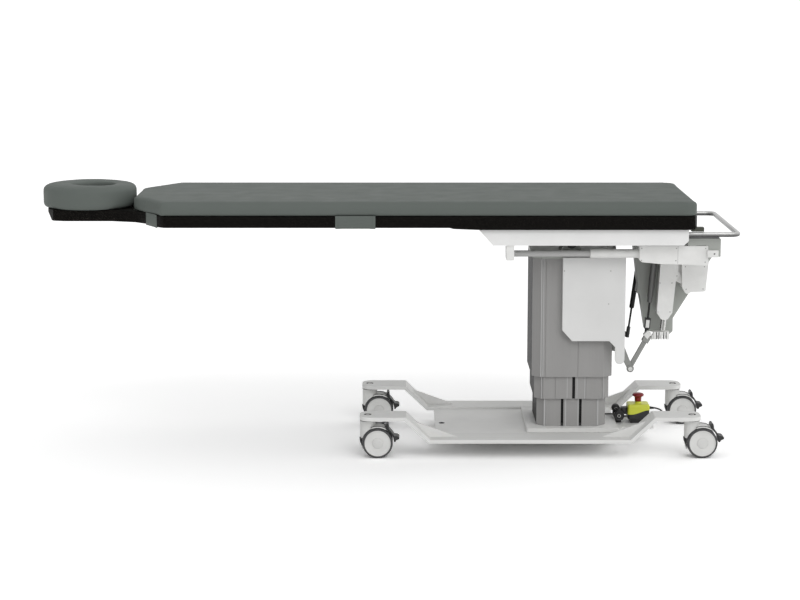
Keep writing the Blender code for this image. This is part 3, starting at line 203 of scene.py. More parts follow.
def anodised(name, tone):
    """Anodised extrusion, matt, with drawing marks along Z."""
    nodes = Nodes(name)
    nodes.shader.inputs["Specular IOR Level"].default_value = 0.06
    marks = nodes.noise(1, 4, nodes.stretch((420, 420, 4)))
    broad = nodes.noise(1, 2, nodes.stretch((24, 24, 1.5)))
    mixed = nodes.math("MULTIPLY_ADD", marks, 0.5, nodes.math("MULTIPLY", broad, 0.5))
    nodes.colour(nodes.blend(nodes.spread(mixed, 0.35, 0.65, 0, 1), tone, shade(tone, 0.94)))
    nodes.rough(nodes.spread(marks, 0.3, 0.7, 0.42, 0.55))
    nodes.bump(marks, 0.00008, 0.4)
    return nodes.material


def bar_metal(name, painted_top_tone, lower, roughness):
    """Polished bar whose colour carries a painted reflection: bright on top and dull and dark underneath."""
    nodes = Nodes(name)
    nodes.shader.inputs["Metallic"].default_value = 0.6
    # Painted reflection: colour runs from the dark tone on faces that look down to the bright tone on faces
    # that look up.
    painted_reflection_mask = nodes.spread(nodes.height_of_normal(), -0.35, 0.55, 0, 1)
    marks = nodes.spread(nodes.noise(1, 3, nodes.stretch((60, 400, 400))), 0.3, 0.7, 0, 0.12)
    nodes.colour(nodes.blend(nodes.math("SUBTRACT", painted_reflection_mask, marks), lower, painted_top_tone))
    nodes.rough(nodes.spread(marks, 0, 0.12, roughness - 0.05, roughness + 0.08))
    return nodes.material


def carbon_weave(name):
    """Twill carbon under clear resin: tows two over and two under, with pale flecks."""
    nodes = Nodes(name)
    tow = 0.0022
    split = nodes.add("ShaderNodeSeparateXYZ")
    nodes.link(nodes.place, split.inputs[0])
    side = nodes.math("ADD", split.outputs["Y"], split.outputs["Z"])
    along = nodes.math("DIVIDE", split.outputs["X"], tow)
    across = nodes.math("DIVIDE", side, tow)
    step = nodes.math("ADD", nodes.math("FLOOR", along), nodes.math("FLOOR", across))
    warp = nodes.math("LESS_THAN", nodes.math("FLOORED_MODULO", step, 4), 1.5)
    bend_x = nodes.math("PINGPONG", along, 0.5)
    bend_y = nodes.math("PINGPONG", across, 0.5)
    height = nodes.math("ADD", nodes.math("MULTIPLY", warp, bend_x),
                        nodes.math("MULTIPLY", nodes.math("SUBTRACT", 1, warp), bend_y))
    fleck = nodes.spread(nodes.noise(380, 2), 0.54, 0.74, 0, 0.8)
    base = nodes.blend(warp, (0.0028, 0.0025, 0.0023), (0.0056, 0.005, 0.0044))
    nodes.colour(nodes.blend(fleck, base, (0.04, 0.036, 0.032)))
    nodes.rough(nodes.patches(30, 3, 0.3, 0.42))
    nodes.shader.inputs["Specular IOR Level"].default_value = 0.03
    nodes.bump(height, 0.00012, 0.5)
    return nodes.material


def vinyl(name, tone):
    """Upholstery vinyl: pebbled grain, soft mottling, and a painted sheen that lightens the grain's high
    spots.
    """
    nodes = Nodes(name)
    pebble = nodes.cells(620, "SMOOTH_F1")
    pebble_sheen = nodes.spread(pebble, 0, 0.9, 0, 1)
    body = nodes.blend(nodes.patches(9, 5, 0, 1), tone, shade(tone, 0.985))
    # Painted sheen: colour lightened on the raised ridges of the pebble grain.
    nodes.colour(nodes.blend(nodes.math("MULTIPLY", pebble_sheen, 0.35), body, shade(tone, 1.22)))
    nodes.rough(nodes.patches(14, 4, 0.56, 0.68))
    height = nodes.math("MULTIPLY_ADD", nodes.noise(26, 4), 0.5, nodes.math("MULTIPLY", pebble, 0.45))
    nodes.bump(height, 0.0003, 0.3)
    nodes.shader.inputs["Specular IOR Level"].default_value = 0.22
    return nodes.material


def tyre_rubber(name, tone):
    """Matt tread rubber with paler worn patches."""
    nodes = Nodes(name)
    worn = nodes.spread(nodes.noise(60, 4), 0.3, 0.75, 0, 1)
    nodes.colour(nodes.blend(worn, tone, shade(tone, 1.7)))
    nodes.rough(nodes.patches(90, 3, 0.62, 0.82))
    nodes.bump(nodes.noise(1100, 2), 0.0002, 0.6)
    return nodes.material


FINISH = {
    "base_paint": paint("base_powder_coat", linear(226, 226, 224), 0.46),
    "white_paint": paint("white_powder_coat", linear(239, 239, 238), 0.4),
    "column_grey": anodised("column_anodised", linear(161, 160, 159)),
    "bracket_grey": paint("bracket_satin_paint", linear(172, 175, 170), 0.42),
    "bright_steel": metal("ground_steel", linear(212, 212, 210), 0.26, (300, 300, 300)),
    "drive_white": moulded("drive_moulding", linear(238, 238, 236), 0.44),
    "carbon": carbon_weave("carbon_twill"),
    "pad_vinyl": vinyl("pad_vinyl_grain", linear(96, 102, 98)),
    "black_plastic": moulded("black_moulding", linear(33, 33, 34), 0.42),
    "caster_grey": moulded("caster_moulding", linear(224, 224, 222), 0.42),
    "stop_yellow": moulded("stop_yellow_moulding", linear(214, 220, 66), 0.34, 500),
    "stop_red": moulded("stop_red_moulding", linear(128, 15, 24), 0.4, 500),
    "pad_seam": moulded("pad_seam_thread", linear(82, 87, 84), 0.6, 1800),
    "tyre": tyre_rubber("tread_rubber", linear(64, 64, 65)),
    # Painted shade for the column's end panels and slots, and painted highlight for its edge lips.
    "column_painted_shade": anodised("column_painted_shade_anodised", linear(42, 42, 42)),
    "column_painted_highlight": anodised("column_painted_highlight_lip", linear(186, 186, 186)),
    "lead": moulded("lead_sheath", linear(30, 31, 36), 0.38, 900),
    "hub_cap": moulded("hub_cap_moulding", linear(216, 216, 214), 0.38, 900),
    # Rail coat with painted shade: faces that look up have their colour scaled by 0.88.
    "rail_paint_shaded_tops": paint("rail_powder_coat_shaded_tops", linear(228, 228, 226), 0.46, 0.88),
    "cover_paint": paint("cover_powder_coat", linear(224, 224, 223), 0.4),
    "slide_grey": paint("slide_satin_paint", linear(184, 184, 183), 0.45),
    "strut_grey": paint("strut_satin_paint", linear(150, 151, 148), 0.5),
    "spring_grey": moulded("spring_tube_steel", linear(104, 104, 103), 0.4, 900),
    "spring_dark": moulded("spring_dark_steel", linear(44, 44, 45), 0.4, 900),
    "dark_steel": metal("dark_steel", linear(70, 70, 70), 0.42, (200, 200, 200)),
    # The handle's colour carries a painted reflection, bright above and dark below.
    "handle_bar": bar_metal("handle_bar_painted_reflection", linear(205, 205, 204), linear(74, 74, 74), 0.3),
    "screw_dark": moulded("screw_dark_steel", linear(52, 52, 54), 0.5, 900),
    "screw_pale": moulded("screw_pale_steel", linear(168, 168, 166), 0.5, 900),
    "latch_olive": moulded("latch_moulding", linear(58, 60, 50), 0.5, 900),
}
# CAD nodes whose finish differs from that of their slot
NODE_FINISH = {"near_side_cover": "cover_paint", "far_side_cover": "cover_paint",
               "near_side_rail": "rail_paint_shaded_tops", "far_side_rail": "rail_paint_shaded_tops",
               "slide_actuator_rod": "slide_grey",
               "tilt_strut": "strut_grey", "link_bracket": "strut_grey",
               "near_gas_spring_cylinder": "spring_grey", "near_gas_spring_rod": "dark_steel",
               "far_gas_spring_cylinder": "spring_dark", "far_gas_spring_rod": "spring_dark",
               "tilt_pivot_pin": "dark_steel", "push_handle": "handle_bar"}


def finish_of(node):
    return NODE_FINISH.get(node, SLOT_OF[node])


def dress(thing, body, slot, finish=None, replaced=()):
    """Puts a new piece on its body with its finish, and hides the CAD nodes it stands for."""
    if not thing.data.materials:
        thing.data.materials.append(FINISH[finish or slot])
    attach(thing, body)
    if replaced:
        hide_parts(*replaced)
    return thing


def keep(name, shape, smooth=30):
    """A new object from a bmesh in world coordinates."""
    mesh = bpy.data.meshes.new(name)
    bmesh.ops.recalc_face_normals(shape, faces=shape.faces)
    shape.to_mesh(mesh)
    shape.free()
    mesh.shade_smooth()
    mesh.set_sharp_from_angle(angle=math.radians(smooth))
    made = bpy.data.objects.new(name, mesh)
    bpy.context.scene.collection.objects.link(made)
    return made


def settle(thing):
    """Applies a piece's modifiers to its mesh."""
    graph = bpy.context.evaluated_depsgraph_get()
    graph.update()
    fresh = bpy.data.meshes.new_from_object(thing.evaluated_get(graph), preserve_all_data_layers=True,
                                            depsgraph=graph)
    thing.modifiers.clear()
    thing.data = fresh
    return thing


def piece(name, shape, smooth, body, slot, finish=None, replaced=()):
    """A new dressed object from a bmesh."""
    return dress(keep(name, shape, smooth), body, slot, finish, replaced)


def edge_rounding(thing, width, segments=2, angle=28):
    modifier = thing.modifiers.new("edge_rounding", "BEVEL")
    modifier.width = width
    modifier.segments = segments
    modifier.limit_method = "ANGLE"
    modifier.angle_limit = math.radians(angle)
    modifier.use_clamp_overlap = True
    flat = thing.modifiers.new("flat_faces", "WEIGHTED_NORMAL")
    flat.keep_sharp = True
    flat.weight = 90
    return settle(thing)


def direct_rays(tree):
    """1 for rays from the camera, a mirror or a clear surface, and 0 for light that bounces."""
    rays = tree.nodes.new("ShaderNodeLightPath")
    found = rays.outputs[DIRECT_RAYS[0]]
    for name in DIRECT_RAYS[1:]:
        either = tree.nodes.new("ShaderNodeMath")
        either.operation = "MAXIMUM"
        tree.links.new(found, either.inputs[0])
        tree.links.new(rays.outputs[name], either.inputs[1])
        found = either.outputs[0]
    return found


def sky():
    """White for direct rays, and for bounced light graded along X."""
    world = bpy.data.worlds.new("world")
    bpy.context.scene.world = world
    world.use_nodes = True
    tree = world.node_tree
    graded = tree.nodes["Background"]
    graded.inputs["Color"].default_value = (1, 1, 1, 1)
    split = tree.nodes.new("ShaderNodeSeparateXYZ")
    level = tree.nodes.new("ShaderNodeMapRange")
    tree.links.new(tree.nodes.new("ShaderNodeTexCoord").outputs["Generated"], split.inputs[0])
    tree.links.new(split.outputs["X"], level.inputs["Value"])
    for socket, number in zip(("From Min", "From Max", "To Min", "To Max"), (-1, 1, *WORLD_STRENGTH)):
        level.inputs[socket].default_value = number
    tree.links.new(level.outputs["Result"], graded.inputs["Strength"])
    mix = tree.nodes.new("ShaderNodeMixShader")
    plain = tree.nodes.new("ShaderNodeBackground")
    plain.inputs["Strength"].default_value = 1
    for index, source in enumerate((direct_rays(tree), graded.outputs[0], plain.outputs[0])):
        tree.links.new(source, mix.inputs[index])
    tree.links.new(mix.outputs[0], tree.nodes["World Output"].inputs["Surface"])


def studio():
    """Camera, plain soft light and a pale floor."""
    scene = bpy.context.scene
    camera = bpy.data.objects.new("camera", bpy.data.cameras.new("camera"))
    camera.data.lens = CAMERA_LENS
    camera.data.clip_end = 400
    camera.location = CAMERA_AT
    camera.rotation_euler = (math.radians(CAMERA_PITCH), 0, 0)
    scene.camera = camera
    sun = bpy.data.objects.new("key_sun", bpy.data.lights.new("key_sun", "SUN"))
    sun.data.energy = SUN_STRENGTH
    sun.data.angle = math.radians(SUN_SPREAD)
    sun.rotation_euler = [math.radians(angle) for angle in SUN_TURN]
    for thing in (camera, sun):
        scene.collection.objects.link(thing)
    sky()
    shape = bmesh.new()
    bmesh.ops.create_grid(shape, x_segments=1, y_segments=1, size=FLOOR_SIZE)
    floor = keep("floor", shape)
    nodes = Nodes("pale_floor")
    matt = nodes.add("ShaderNodeBsdfDiffuse")
    tone = nodes.blend(direct_rays(nodes.tree), [FLOOR_BOUNCE] * 3, [FLOOR_WHITE] * 3)
    nodes.link(tone, matt.inputs["Color"])
    nodes.link(matt.outputs[0], nodes.tree.nodes["Material Output"].inputs["Surface"])
    nodes.tree.nodes.remove(nodes.shader)
    floor.data.materials.append(nodes.material)
    scene.view_settings.view_transform = "Standard"


def softened(node, width, segments=2, angle=28):
    """A copy of a rigid CAD node with its edges rounded, in the node's place."""
    source = frame["nodes"][node]
    shape = bmesh.new()
    shape.from_mesh(source.data)
    bmesh.ops.remove_doubles(shape, verts=shape.verts, dist=2e-6)
    bmesh.ops.dissolve_limit(shape, angle_limit=math.radians(1.5), verts=shape.verts, edges=shape.edges)
    made = keep(node + "_rounded", shape, 40)
    edge_rounding(made, width, segments, angle)
    made.data.materials.clear()
    return dress(made, BODY_OF[node], SLOT_OF[node], finish_of(node), (node,))


def finish_nodes():
    """Gives every CAD node that stays in view its finish."""
    for name, thing in frame["nodes"].items():
        finish = FINISH[finish_of(name)]
        for index in range(max(1, len(thing.material_slots))):
            if not thing.material_slots:
                thing.data.materials.append(finish)
            thing.material_slots[index].material = finish


# Shapes, all in world metres and added to an open bmesh

def wheel_of_spokes(direction, segments):
    """The unit axis along a direction and the unit spokes round it."""
    axis = vec(direction).normalized()
    side = Vector((0, 0, 1)) if abs(axis.z) < 0.5 else Vector((1, 0, 0))
    side = (side - axis * side.dot(axis)).normalized()
    other = axis.cross(side)
    turns = (2 * math.pi * k / segments for k in range(segments))
    return axis, [side * math.cos(turn) + other * math.sin(turn) for turn in turns]


def walls(shape, loops, closed=False):
    """Faces between neighbouring loops of equal count, and back to the first one if closed."""
    count = len(loops[0])
    for first, second in zip(loops, loops[1:] + (loops[:1] if closed else [])):
        for k in range(count):
            m = (k + 1) % count
            shape.faces.new((first[k], first[m], second[m], second[k]))


def skin_stack(shape, rings):
    """Walls through a stack of rings of equal count, closed at both ends."""
    loops = [[shape.verts.new(point) for point in ring] for ring in rings]
    walls(shape, loops)
    shape.faces.new(loops[0][::-1])
    shape.faces.new(loops[-1])


def lathe(shape, profile, start, direction, segments=48):
    """A solid of revolution: the profile gives distance along the axis and radius."""
    axis, spokes = wheel_of_spokes(direction, segments)
    rings = []
    for along, radius in profile:
        centre = vec(start) + axis * along
        points = [centre] if radius < 1e-7 else [centre + spoke * radius for spoke in spokes]
        rings.append([shape.verts.new(point) for point in points])
    for first, second in zip(rings, rings[1:]):
        for k in range(segments):
            m = (k + 1) % segments
            corners = [ring[i % len(ring)] for ring, i in ((first, k), (first, m), (second, m), (second, k))]
            shape.faces.new(list(dict.fromkeys(corners)))
    for ring in (rings[0], rings[-1]):
        if len(ring) > 1:
            shape.faces.new(ring)


def ring_lathe(shape, profile, start, direction, segments=48):
    """A closed ring of revolution: the profile is a closed loop of distance and radius."""
    axis, spokes = wheel_of_spokes(direction, segments)
    walls(shape, [[shape.verts.new(vec(start) + axis * along + spoke * radius) for along, radius in profile]
                  for spoke in spokes], closed=True)


def plane_point(axis, u, v, w):
    return {"X": Vector((w, u, v)), "Y": Vector((u, w, v)), "Z": Vector((u, v, w))}[axis]


def prism(shape, outline, axis, low, high):
    skin_stack(shape, [[plane_point(axis, u, v, w) for u, v in outline] for w in (low, high)])


def box(shape, x, y, z):
    prism(shape, ((x[0], y[0]), (x[1], y[0]), (x[1], y[1]), (x[0], y[1])), "Z", *z)


def arc(centre, radius, start, end, steps):
    angles = (math.radians(start + (end - start) * k / steps) for k in range(steps + 1))
    return [(centre[0] + radius * math.cos(a), centre[1] + radius * math.sin(a)) for a in angles]


def sweep(shape, points, section, up=(0, 0, 1)):
    """A section (across, up) carried along a path of points."""
    points = [vec(point) for point in points]
    count = len(points)
    rings = []
    for i, point in enumerate(points):
        before = point - points[i - 1] if i else None
        after = points[i + 1] - point if i < count - 1 else None
        before = (before or after).normalized()
        after = (after or before).normalized()
        way = (before + after).normalized()
        across = way.cross(vec(up)).normalized()
        rise = across.cross(way).normalized()
        stretch = 1 / max(0.6, way.dot(after))
        rings.append([point + across * u * stretch + rise * v for u, v in section])
    skin_stack(shape, rings)


def shifted(by, points):
    return [(by[0] + u, by[1] + v) for u, v in points]


def mm(*pairs):
    """Pairs of millimetres as pairs of metres."""
    return [(first * 0.001, second * 0.001) for first, second in pairs]


def circle(radius, sides=12):
    return [(radius * math.cos(2 * math.pi * k / sides), radius * math.sin(2 * math.pi * k / sides))
            for k in range(sides)]


def made_of(make, *settings):
    """A fresh bmesh with one shape in it."""
    shape = bmesh.new()
    make(shape, *settings)
    return shape


def smooth_again(thing, angle=35):
    thing.data.shade_smooth()
    thing.data.set_sharp_from_angle(angle=math.radians(angle))
    return thing


# Soft goods

CLOTH_STEPS = 11
CLOTH = {"quality": 4, "mass": 0.3, "use_pressure": True, "tension_stiffness": 12,
         "compression_stiffness": 12, "bending_stiffness": 0.8}


def inflated(thing, voxel, pressure, cap, rest_z):
    """Remeshes a cushion evenly and swells it with a short cloth run, flat below rest_z."""
    remesh = thing.modifiers.new("even_mesh", "REMESH")
    remesh.mode = "VOXEL"
    remesh.voxel_size = voxel
    settle(thing)
    relax = thing.modifiers.new("relax", "SMOOTH")
    relax.factor = 0.5
    relax.iterations = 1
    settle(thing)
    rest = [vertex.co.copy() for vertex in thing.data.vertices]
    pinned = thing.vertex_groups.new(name="resting")
    pinned.add([v.index for v in thing.data.vertices if v.co.z < rest_z], 1, "REPLACE")
    cloth = thing.modifiers.new("filling", "CLOTH")
    for setting, value in CLOTH.items():
        setattr(cloth.settings, setting, value)
    cloth.settings.uniform_pressure_force = pressure
    cloth.settings.vertex_group_mass = pinned.name
    cloth.settings.effector_weights.gravity = 0
    cloth.collision_settings.use_collision = False
    cloth.collision_settings.use_self_collision = False
    scene = bpy.context.scene
    for step in range(1, CLOTH_STEPS + 1):
        scene.frame_set(step)
    settle(thing)
    scene.frame_set(1)
    for vertex, start in zip(thing.data.vertices, rest):
        move = vertex.co - start
        if move.length > cap:
            vertex.co = start + move * (cap / move.length)
    thing.vertex_groups.clear()
    return smooth_again(thing, 80)


PAD_TOP = 0.848
PAD_BOTTOM = 0.8013
PAD_REST = PAD_BOTTOM + 0.003
SWELLING = 0.0022
PAD_NEAR_SIDE = ((1.009, -0.275), (1, -0.296), (0.979, -0.305), (-0.721, -0.305), (-0.732, -0.286),
                 (-0.781, -0.204), (-0.812, -0.158), (-0.83, -0.125))
PAD_OUTLINE = [*reversed(PAD_NEAR_SIDE)] + [(x, -y) for x, y in PAD_NEAR_SIDE]


def inset(outline, amount):
    """The outline moved inwards by an amount, with mitred corners; it runs anticlockwise."""
    moved = []
    count = len(outline)
    for i in range(count):
        here = Vector(outline[i])
        before = (here - Vector(outline[i - 1])).normalized()
        after = (Vector(outline[(i + 1) % count]) - here).normalized()
        normal = (Vector((before.y, -before.x)) + Vector((after.y, -after.x))).normalized()
        reach = amount / max(0.5, normal.dot(Vector((before.y, -before.x))))
        moved.append((here.x - normal.x * reach, here.y - normal.y * reach))
    return moved


def mattress_pad():
    """The long pad, made a little small and then swollen to size."""
    pad = keep("mattress_cushion", made_of(prism, inset(PAD_OUTLINE, SWELLING), "Z", PAD_BOTTOM,
                                           PAD_TOP - SWELLING))
    edge_rounding(pad, 0.006, 3, 40)
    inflated(pad, 0.006, 1.6, 0.0018, PAD_REST)
    dress(pad, "top", "pad_vinyl", None, ("mattress_pad",))


RING_AT = (-0.988, 0)
RING_RADIUS = 0.157
RING_TOP = 0.877
RING_ROUND = 0.02


def ring_hole(grow=0):
    return (arc((RING_AT[0] + 0.02, 0), 0.062 + grow, -150, 150, 40)
            + arc((RING_AT[0] - 0.034, 0), 0.022 + grow, 130, 230, 12))


def face_ring():
    """Ring cushion with a face opening: a body with the opening cut through it, then swollen."""
    shape = bmesh.new()
    radius = RING_RADIUS - SWELLING
    height = RING_TOP - SWELLING - PAD_BOTTOM
    profile = [(0, 0), (0, radius - 0.01), (0.004, radius - 0.003), (0.01, radius)]
    corner = arc((radius - RING_ROUND, height - RING_ROUND), RING_ROUND, 0, 90, 6)
    profile += [(up, out) for out, up in corner] + [(height, 0)]
    lathe(shape, profile, (*RING_AT, PAD_BOTTOM), (0, 0, 1), 96)
    ring = keep("face_ring_cushion", shape)
    cutter = keep("opening_cutter", made_of(prism, ring_hole(0.002), "Z", PAD_BOTTOM - 0.02, RING_TOP + 0.02))
    hole = ring.modifiers.new("opening", "BOOLEAN")
    hole.operation = "DIFFERENCE"
    hole.object = cutter
    settle(ring)
    bpy.data.objects.remove(cutter, do_unlink=True)
    edge_rounding(ring, 0.009, 3, 60)
    inflated(ring, 0.005, 2.5, 0.003, PAD_REST)
    dress(ring, "top", "pad_vinyl", None, ("face_cushion",))


TOP_HALF = 0.305
PANEL_LOW = 0.764
STRAP_GAP = 0.0018
STRAP_STATIONS = {"middle_strap": ((-0.159, TOP_HALF), (-0.03, TOP_HALF)),
                  "head_strap": ((-0.779, 0.2006), (-0.735, 0.2805))}


def strap_band(node, stations):
    """A vinyl band that hugs the panel: over both sides and under it, with hemmed edges and stitching."""
    first, second = (Vector(station) for station in stations)
    along = (second - first).normalized()
    normal = Vector((-along.y, along.x))
    shape = bmesh.new()
    thread = bmesh.new()
    low = PANEL_LOW - STRAP_GAP
    high = PAD_BOTTOM + 0.002
    skin = 0.0016
    corner = 0.004

    def lap(t, out):
        base = first + (second - first) * t
        here = base + normal * (STRAP_GAP + out)
        inner = base + normal * (STRAP_GAP - corner)
        down = low - out
        return [(base.x, here.y, high), (base.x, here.y, down + corner),
                (base.x, here.y - 0.0012, down + 0.0012), (base.x, inner.y, down), (base.x, 0, down)]

    def both_sides(line):
        return line + [(x, -y, z) for x, y, z in line[-2::-1]]

    steps = 12
    rows = []
    for k in range(steps + 1):
        t = k / steps
        hem = 0.0006 if t < 0.09 or t > 0.91 else 0
        rows.append((both_sides(lap(t, skin / 2 + hem)), both_sides(lap(t, -skin / 2))))
    grid = [[[shape.verts.new(point) for point in line] for line in row] for row in rows]
    count = len(grid[0][0])
    for a, b in zip(grid, grid[1:]):
        for k in range(count - 1):
            shape.faces.new((a[0][k], a[0][k + 1], b[0][k + 1], b[0][k]))
            shape.faces.new((a[1][k], b[1][k], b[1][k + 1], a[1][k + 1]))
        for k in (0, count - 1):
            shape.faces.new((a[0][k], b[0][k], b[1][k], a[1][k]))
    for row in (grid[0], grid[-1]):
        for k in range(count - 1):
            shape.faces.new((row[0][k], row[1][k], row[1][k + 1], row[0][k + 1]))
    band = keep(node + "_band", shape, 50)
    dress(band, "top", "pad_vinyl", None, (node,))
    stitches = 7
    for t in (0.07, 0.93):
        path = lap(t, skin / 2 + 0.0007)
        top, foot = Vector(path[0]), Vector(path[1])
        for side in (-1, 1):
            for n in range(stitches):
                marks = (top.lerp(foot, (n + share) / stitches) for share in (0.15, 0.8))
                ends = [(mark.x, mark.y * side, mark.z) for mark in marks]
                sweep(thread, ends, circle(0.00045, 5), up=(1, 0, 0))
    stitching = keep(node + "_stitches", thread, 60)
    dress(stitching, "top", "pad_vinyl", "pad_seam")


# Casters

STEM_X = {"head": -0.057, "foot": 1.008}
CASTER_Y = {"near": -0.2555, "far": 0.2555}
TRAIL = 0.0325
AXLE_Z = 0.05
ARM_TOP = 0.1415
ARM_UNDERSIDE = 0.1285


def wheel_parts(place, x, y):
    """Twin wheels: rubber treads, moulded discs with a raised rim and a domed hub cap."""
    treads = bmesh.new()
    discs = bmesh.new()
    hubs = bmesh.new()
    for side in (-1, 1):
        start = (x, y, AXLE_Z)
        way = (0, side, 0)
        ring_lathe(treads, mm((9.2, 42.5), (9.2, 47.5), (10.5, 49.2), (13, 50), (25, 50), (28.5, 49.2),
                              (30.5, 47.5), (31.2, 45.2), (30.8, 43.2)), start, way, 72)
        lathe(discs, mm((9.5, 0), (9.5, 42.4), (30.2, 43.1), (31.5, 42.4), (31.8, 41.2), (31.2, 40),
                        (29.9, 39), (29.4, 36), (29.1, 26), (29.3, 20.5), (29.2, 19.2), (28.6, 18.4),
                        (28.6, 0)), start, way, 72)
        lathe(hubs, mm((28, 0), (28, 18.2), (29, 18.2), (29.8, 17.6), (30.5, 16), (31.5, 12), (32.1, 7),
                       (32.3, 0)), start, way, 48)
    body = place + "_wheels"
    piece(place + "_wheel_discs", discs, 32, body, "caster_grey", None, (place + "_caster_wheels",))
    piece(place + "_wheel_treads", treads, 40, body, "black_plastic", "tyre")
    piece(place + "_hub_caps", hubs, 50, body, "caster_grey", "hub_cap")


def fork_trim(place, stem_x, y):
    """Seal round the stem, hood over the wheels with a wire edge, fork heel, and the bolt in the arm."""
    swivel = place + "_swivel"
    hub = (stem_x + TRAIL, AXLE_Z)
    seal = made_of(ring_lathe, mm((-6.8, 25), (-6.8, 25.8), (-5.2, 26.6), (-2.2, 26.6), (-1.2, 25.8),
                                  (-1.2, 25)), (stem_x, y, ARM_UNDERSIDE), (0, 0, 1), 48)
    heel = shifted(hub, mm((-60, 15), (-58.5, 4), (-54.5, -6), (-49.5, -15)))
    heel += arc(hub, 0.0508, 198, 157, 8)
    prism(seal, heel, "Y", y - 0.009, y + 0.009)
    piece(place + "_stem_seal", seal, 40, swivel, "black_plastic")
    hood = made_of(prism, arc(hub, 0.052, 60, 112, 16) + arc(hub, 0.0562, 112, 60, 16), "Y", y - 0.029,
                   y + 0.029)
    dress(edge_rounding(keep(place + "_wheel_hood", hood, 40), 0.0012, 2, 50), swivel, "caster_grey")
    wire = bmesh.new()
    for side in (-1, 1):
        ends = sorted((y + side * 0.0276, y + side * 0.0258))
        prism(wire, arc(hub, 0.056, 58, 112, 16) + arc(hub, 0.058, 112, 58, 16), "Y", *ends)
    piece(place + "_hood_edge", wire, 40, swivel, "black_plastic")
    bolt = made_of(lathe, mm((-3.4, 0), (-3.4, 7), (-1.4, 7), (-0.4, 6.2), (0.4, 4.4), (0.6, 0)),
                   (stem_x, y, ARM_TOP), (0, 0, 1), 32)
    piece(place + "_stem_bolt", bolt, 30, swivel, "bright_steel")
    # A black ring lining the arm's recess round the bolt: painted shade in the recess.
    washer = made_of(ring_lathe, mm((-3.9, 7.4), (-3.9, 12.3), (0.2, 12.3), (0.2, 11.2), (-2.6, 9.2),
                                    (-3, 7.4)), (stem_x, y, ARM_TOP), (0, 0, 1), 40)
    piece(place + "_recess_shade_ring", washer, 30, "base", "black_plastic")


def pedal_shape(place, stem_x, y):
    """Brake pedal: a band outside the wheels with an upright horn and a level horn."""
    hub = (stem_x + TRAIL, AXLE_Z)
    band = arc(hub, 0.0537, 3, 54, 14)
    band += shifted(hub, mm((29, 49), (26.2, 54.5), (27, 61), (29.2, 64.5), (32.5, 65.2), (35.2, 63),
                            (36.8, 58.5), (37.2, 53), (38, 46.5)))
    band += arc(hub, 0.0592, 46, 28, 4)
    band += shifted(hub, mm((56, 23.5), (61, 23.2), (66.5, 22.2), (70.5, 19.6), (71.8, 16.3), (70.4, 13.2),
                            (66, 11), (61.2, 8.8), (59, 4)))
    band += arc(hub, 0.0577, 3.4, 3, 1)
    pedal = edge_rounding(keep(place + "_pedal_band", made_of(prism, band, "Y", y - 0.0225, y + 0.0225),
                               35), 0.0016, 2, 35)
    pedal.data.materials.clear()
    dress(pedal, place + "_pedal", "black_plastic", None, (place + "_brake_pedal",))


def caster_details():
    for end, stem_x in STEM_X.items():
        for side, y in CASTER_Y.items():
            place = end + "_" + side
            wheel_parts(place, stem_x + TRAIL, y)
            fork_trim(place, stem_x, y)
            pedal_shape(place, stem_x, y)
            softened(place + "_caster_housing", 0.0007, 2, 40)


# Emergency stop: box, mushroom button, swivel clamp and lead

LEAD_RADIUS = 0.0028
LEAD_POINTS = (
    (0.904, 0.01, 0.106), (0.92, 0.011, 0.1048), (0.937, 0.018, 0.0975), (0.947, 0.032, 0.086),
    (0.948, 0.05, 0.075), (0.939, 0.067, 0.068), (0.919, 0.0785, 0.0645), (0.896, 0.0805, 0.0634),
    (0.868, 0.0805, 0.0632), (0.84, 0.079, 0.0632), (0.817, 0.073, 0.0632), (0.801, 0.062, 0.0638),
    (0.791, 0.051, 0.068), (0.783, 0.043, 0.0745), (0.774, 0.0395, 0.0784), (0.762, 0.0385, 0.0786),
    (0.749, 0.0385, 0.0785), (0.7362, 0.0385, 0.0785),
)
GROMMET_AT = (0.73585, 0.0385, 0.0785)
STOP_BOX_X = (0.8215, 0.8955)
STOP_BOX_HALF_Y = 0.033
STOP_BUTTON_X = 0.8585
STOP_TOP_Z = 0.126
STOP_SKIRT_Z = 0.0745
STOP_FOOT_Z = 0.0603
STOP_KNOBS = ((0.7918, -0.034, 0.0872, 0.018), (0.7835, -0.006, 0.107, 0.014))


def smooth_route(points, steps):
    """Points on a smooth curve through the given ones."""
    knots = [vec(point) for point in points]
    route = []
    for i in range(len(knots) - 1):
        before = knots[max(i - 1, 0)]
        after = knots[min(i + 2, len(knots) - 1)]
        start, stop = knots[i], knots[i + 1]
        for k in range(steps):
            t = k / steps
            route.append(0.5 * (2 * start + (stop - before) * t
                                + (2 * before - 5 * start + 4 * stop - after) * t * t
                                + (3 * start - before - 3 * stop + after) * t ** 3))
    return route + [knots[-1]]


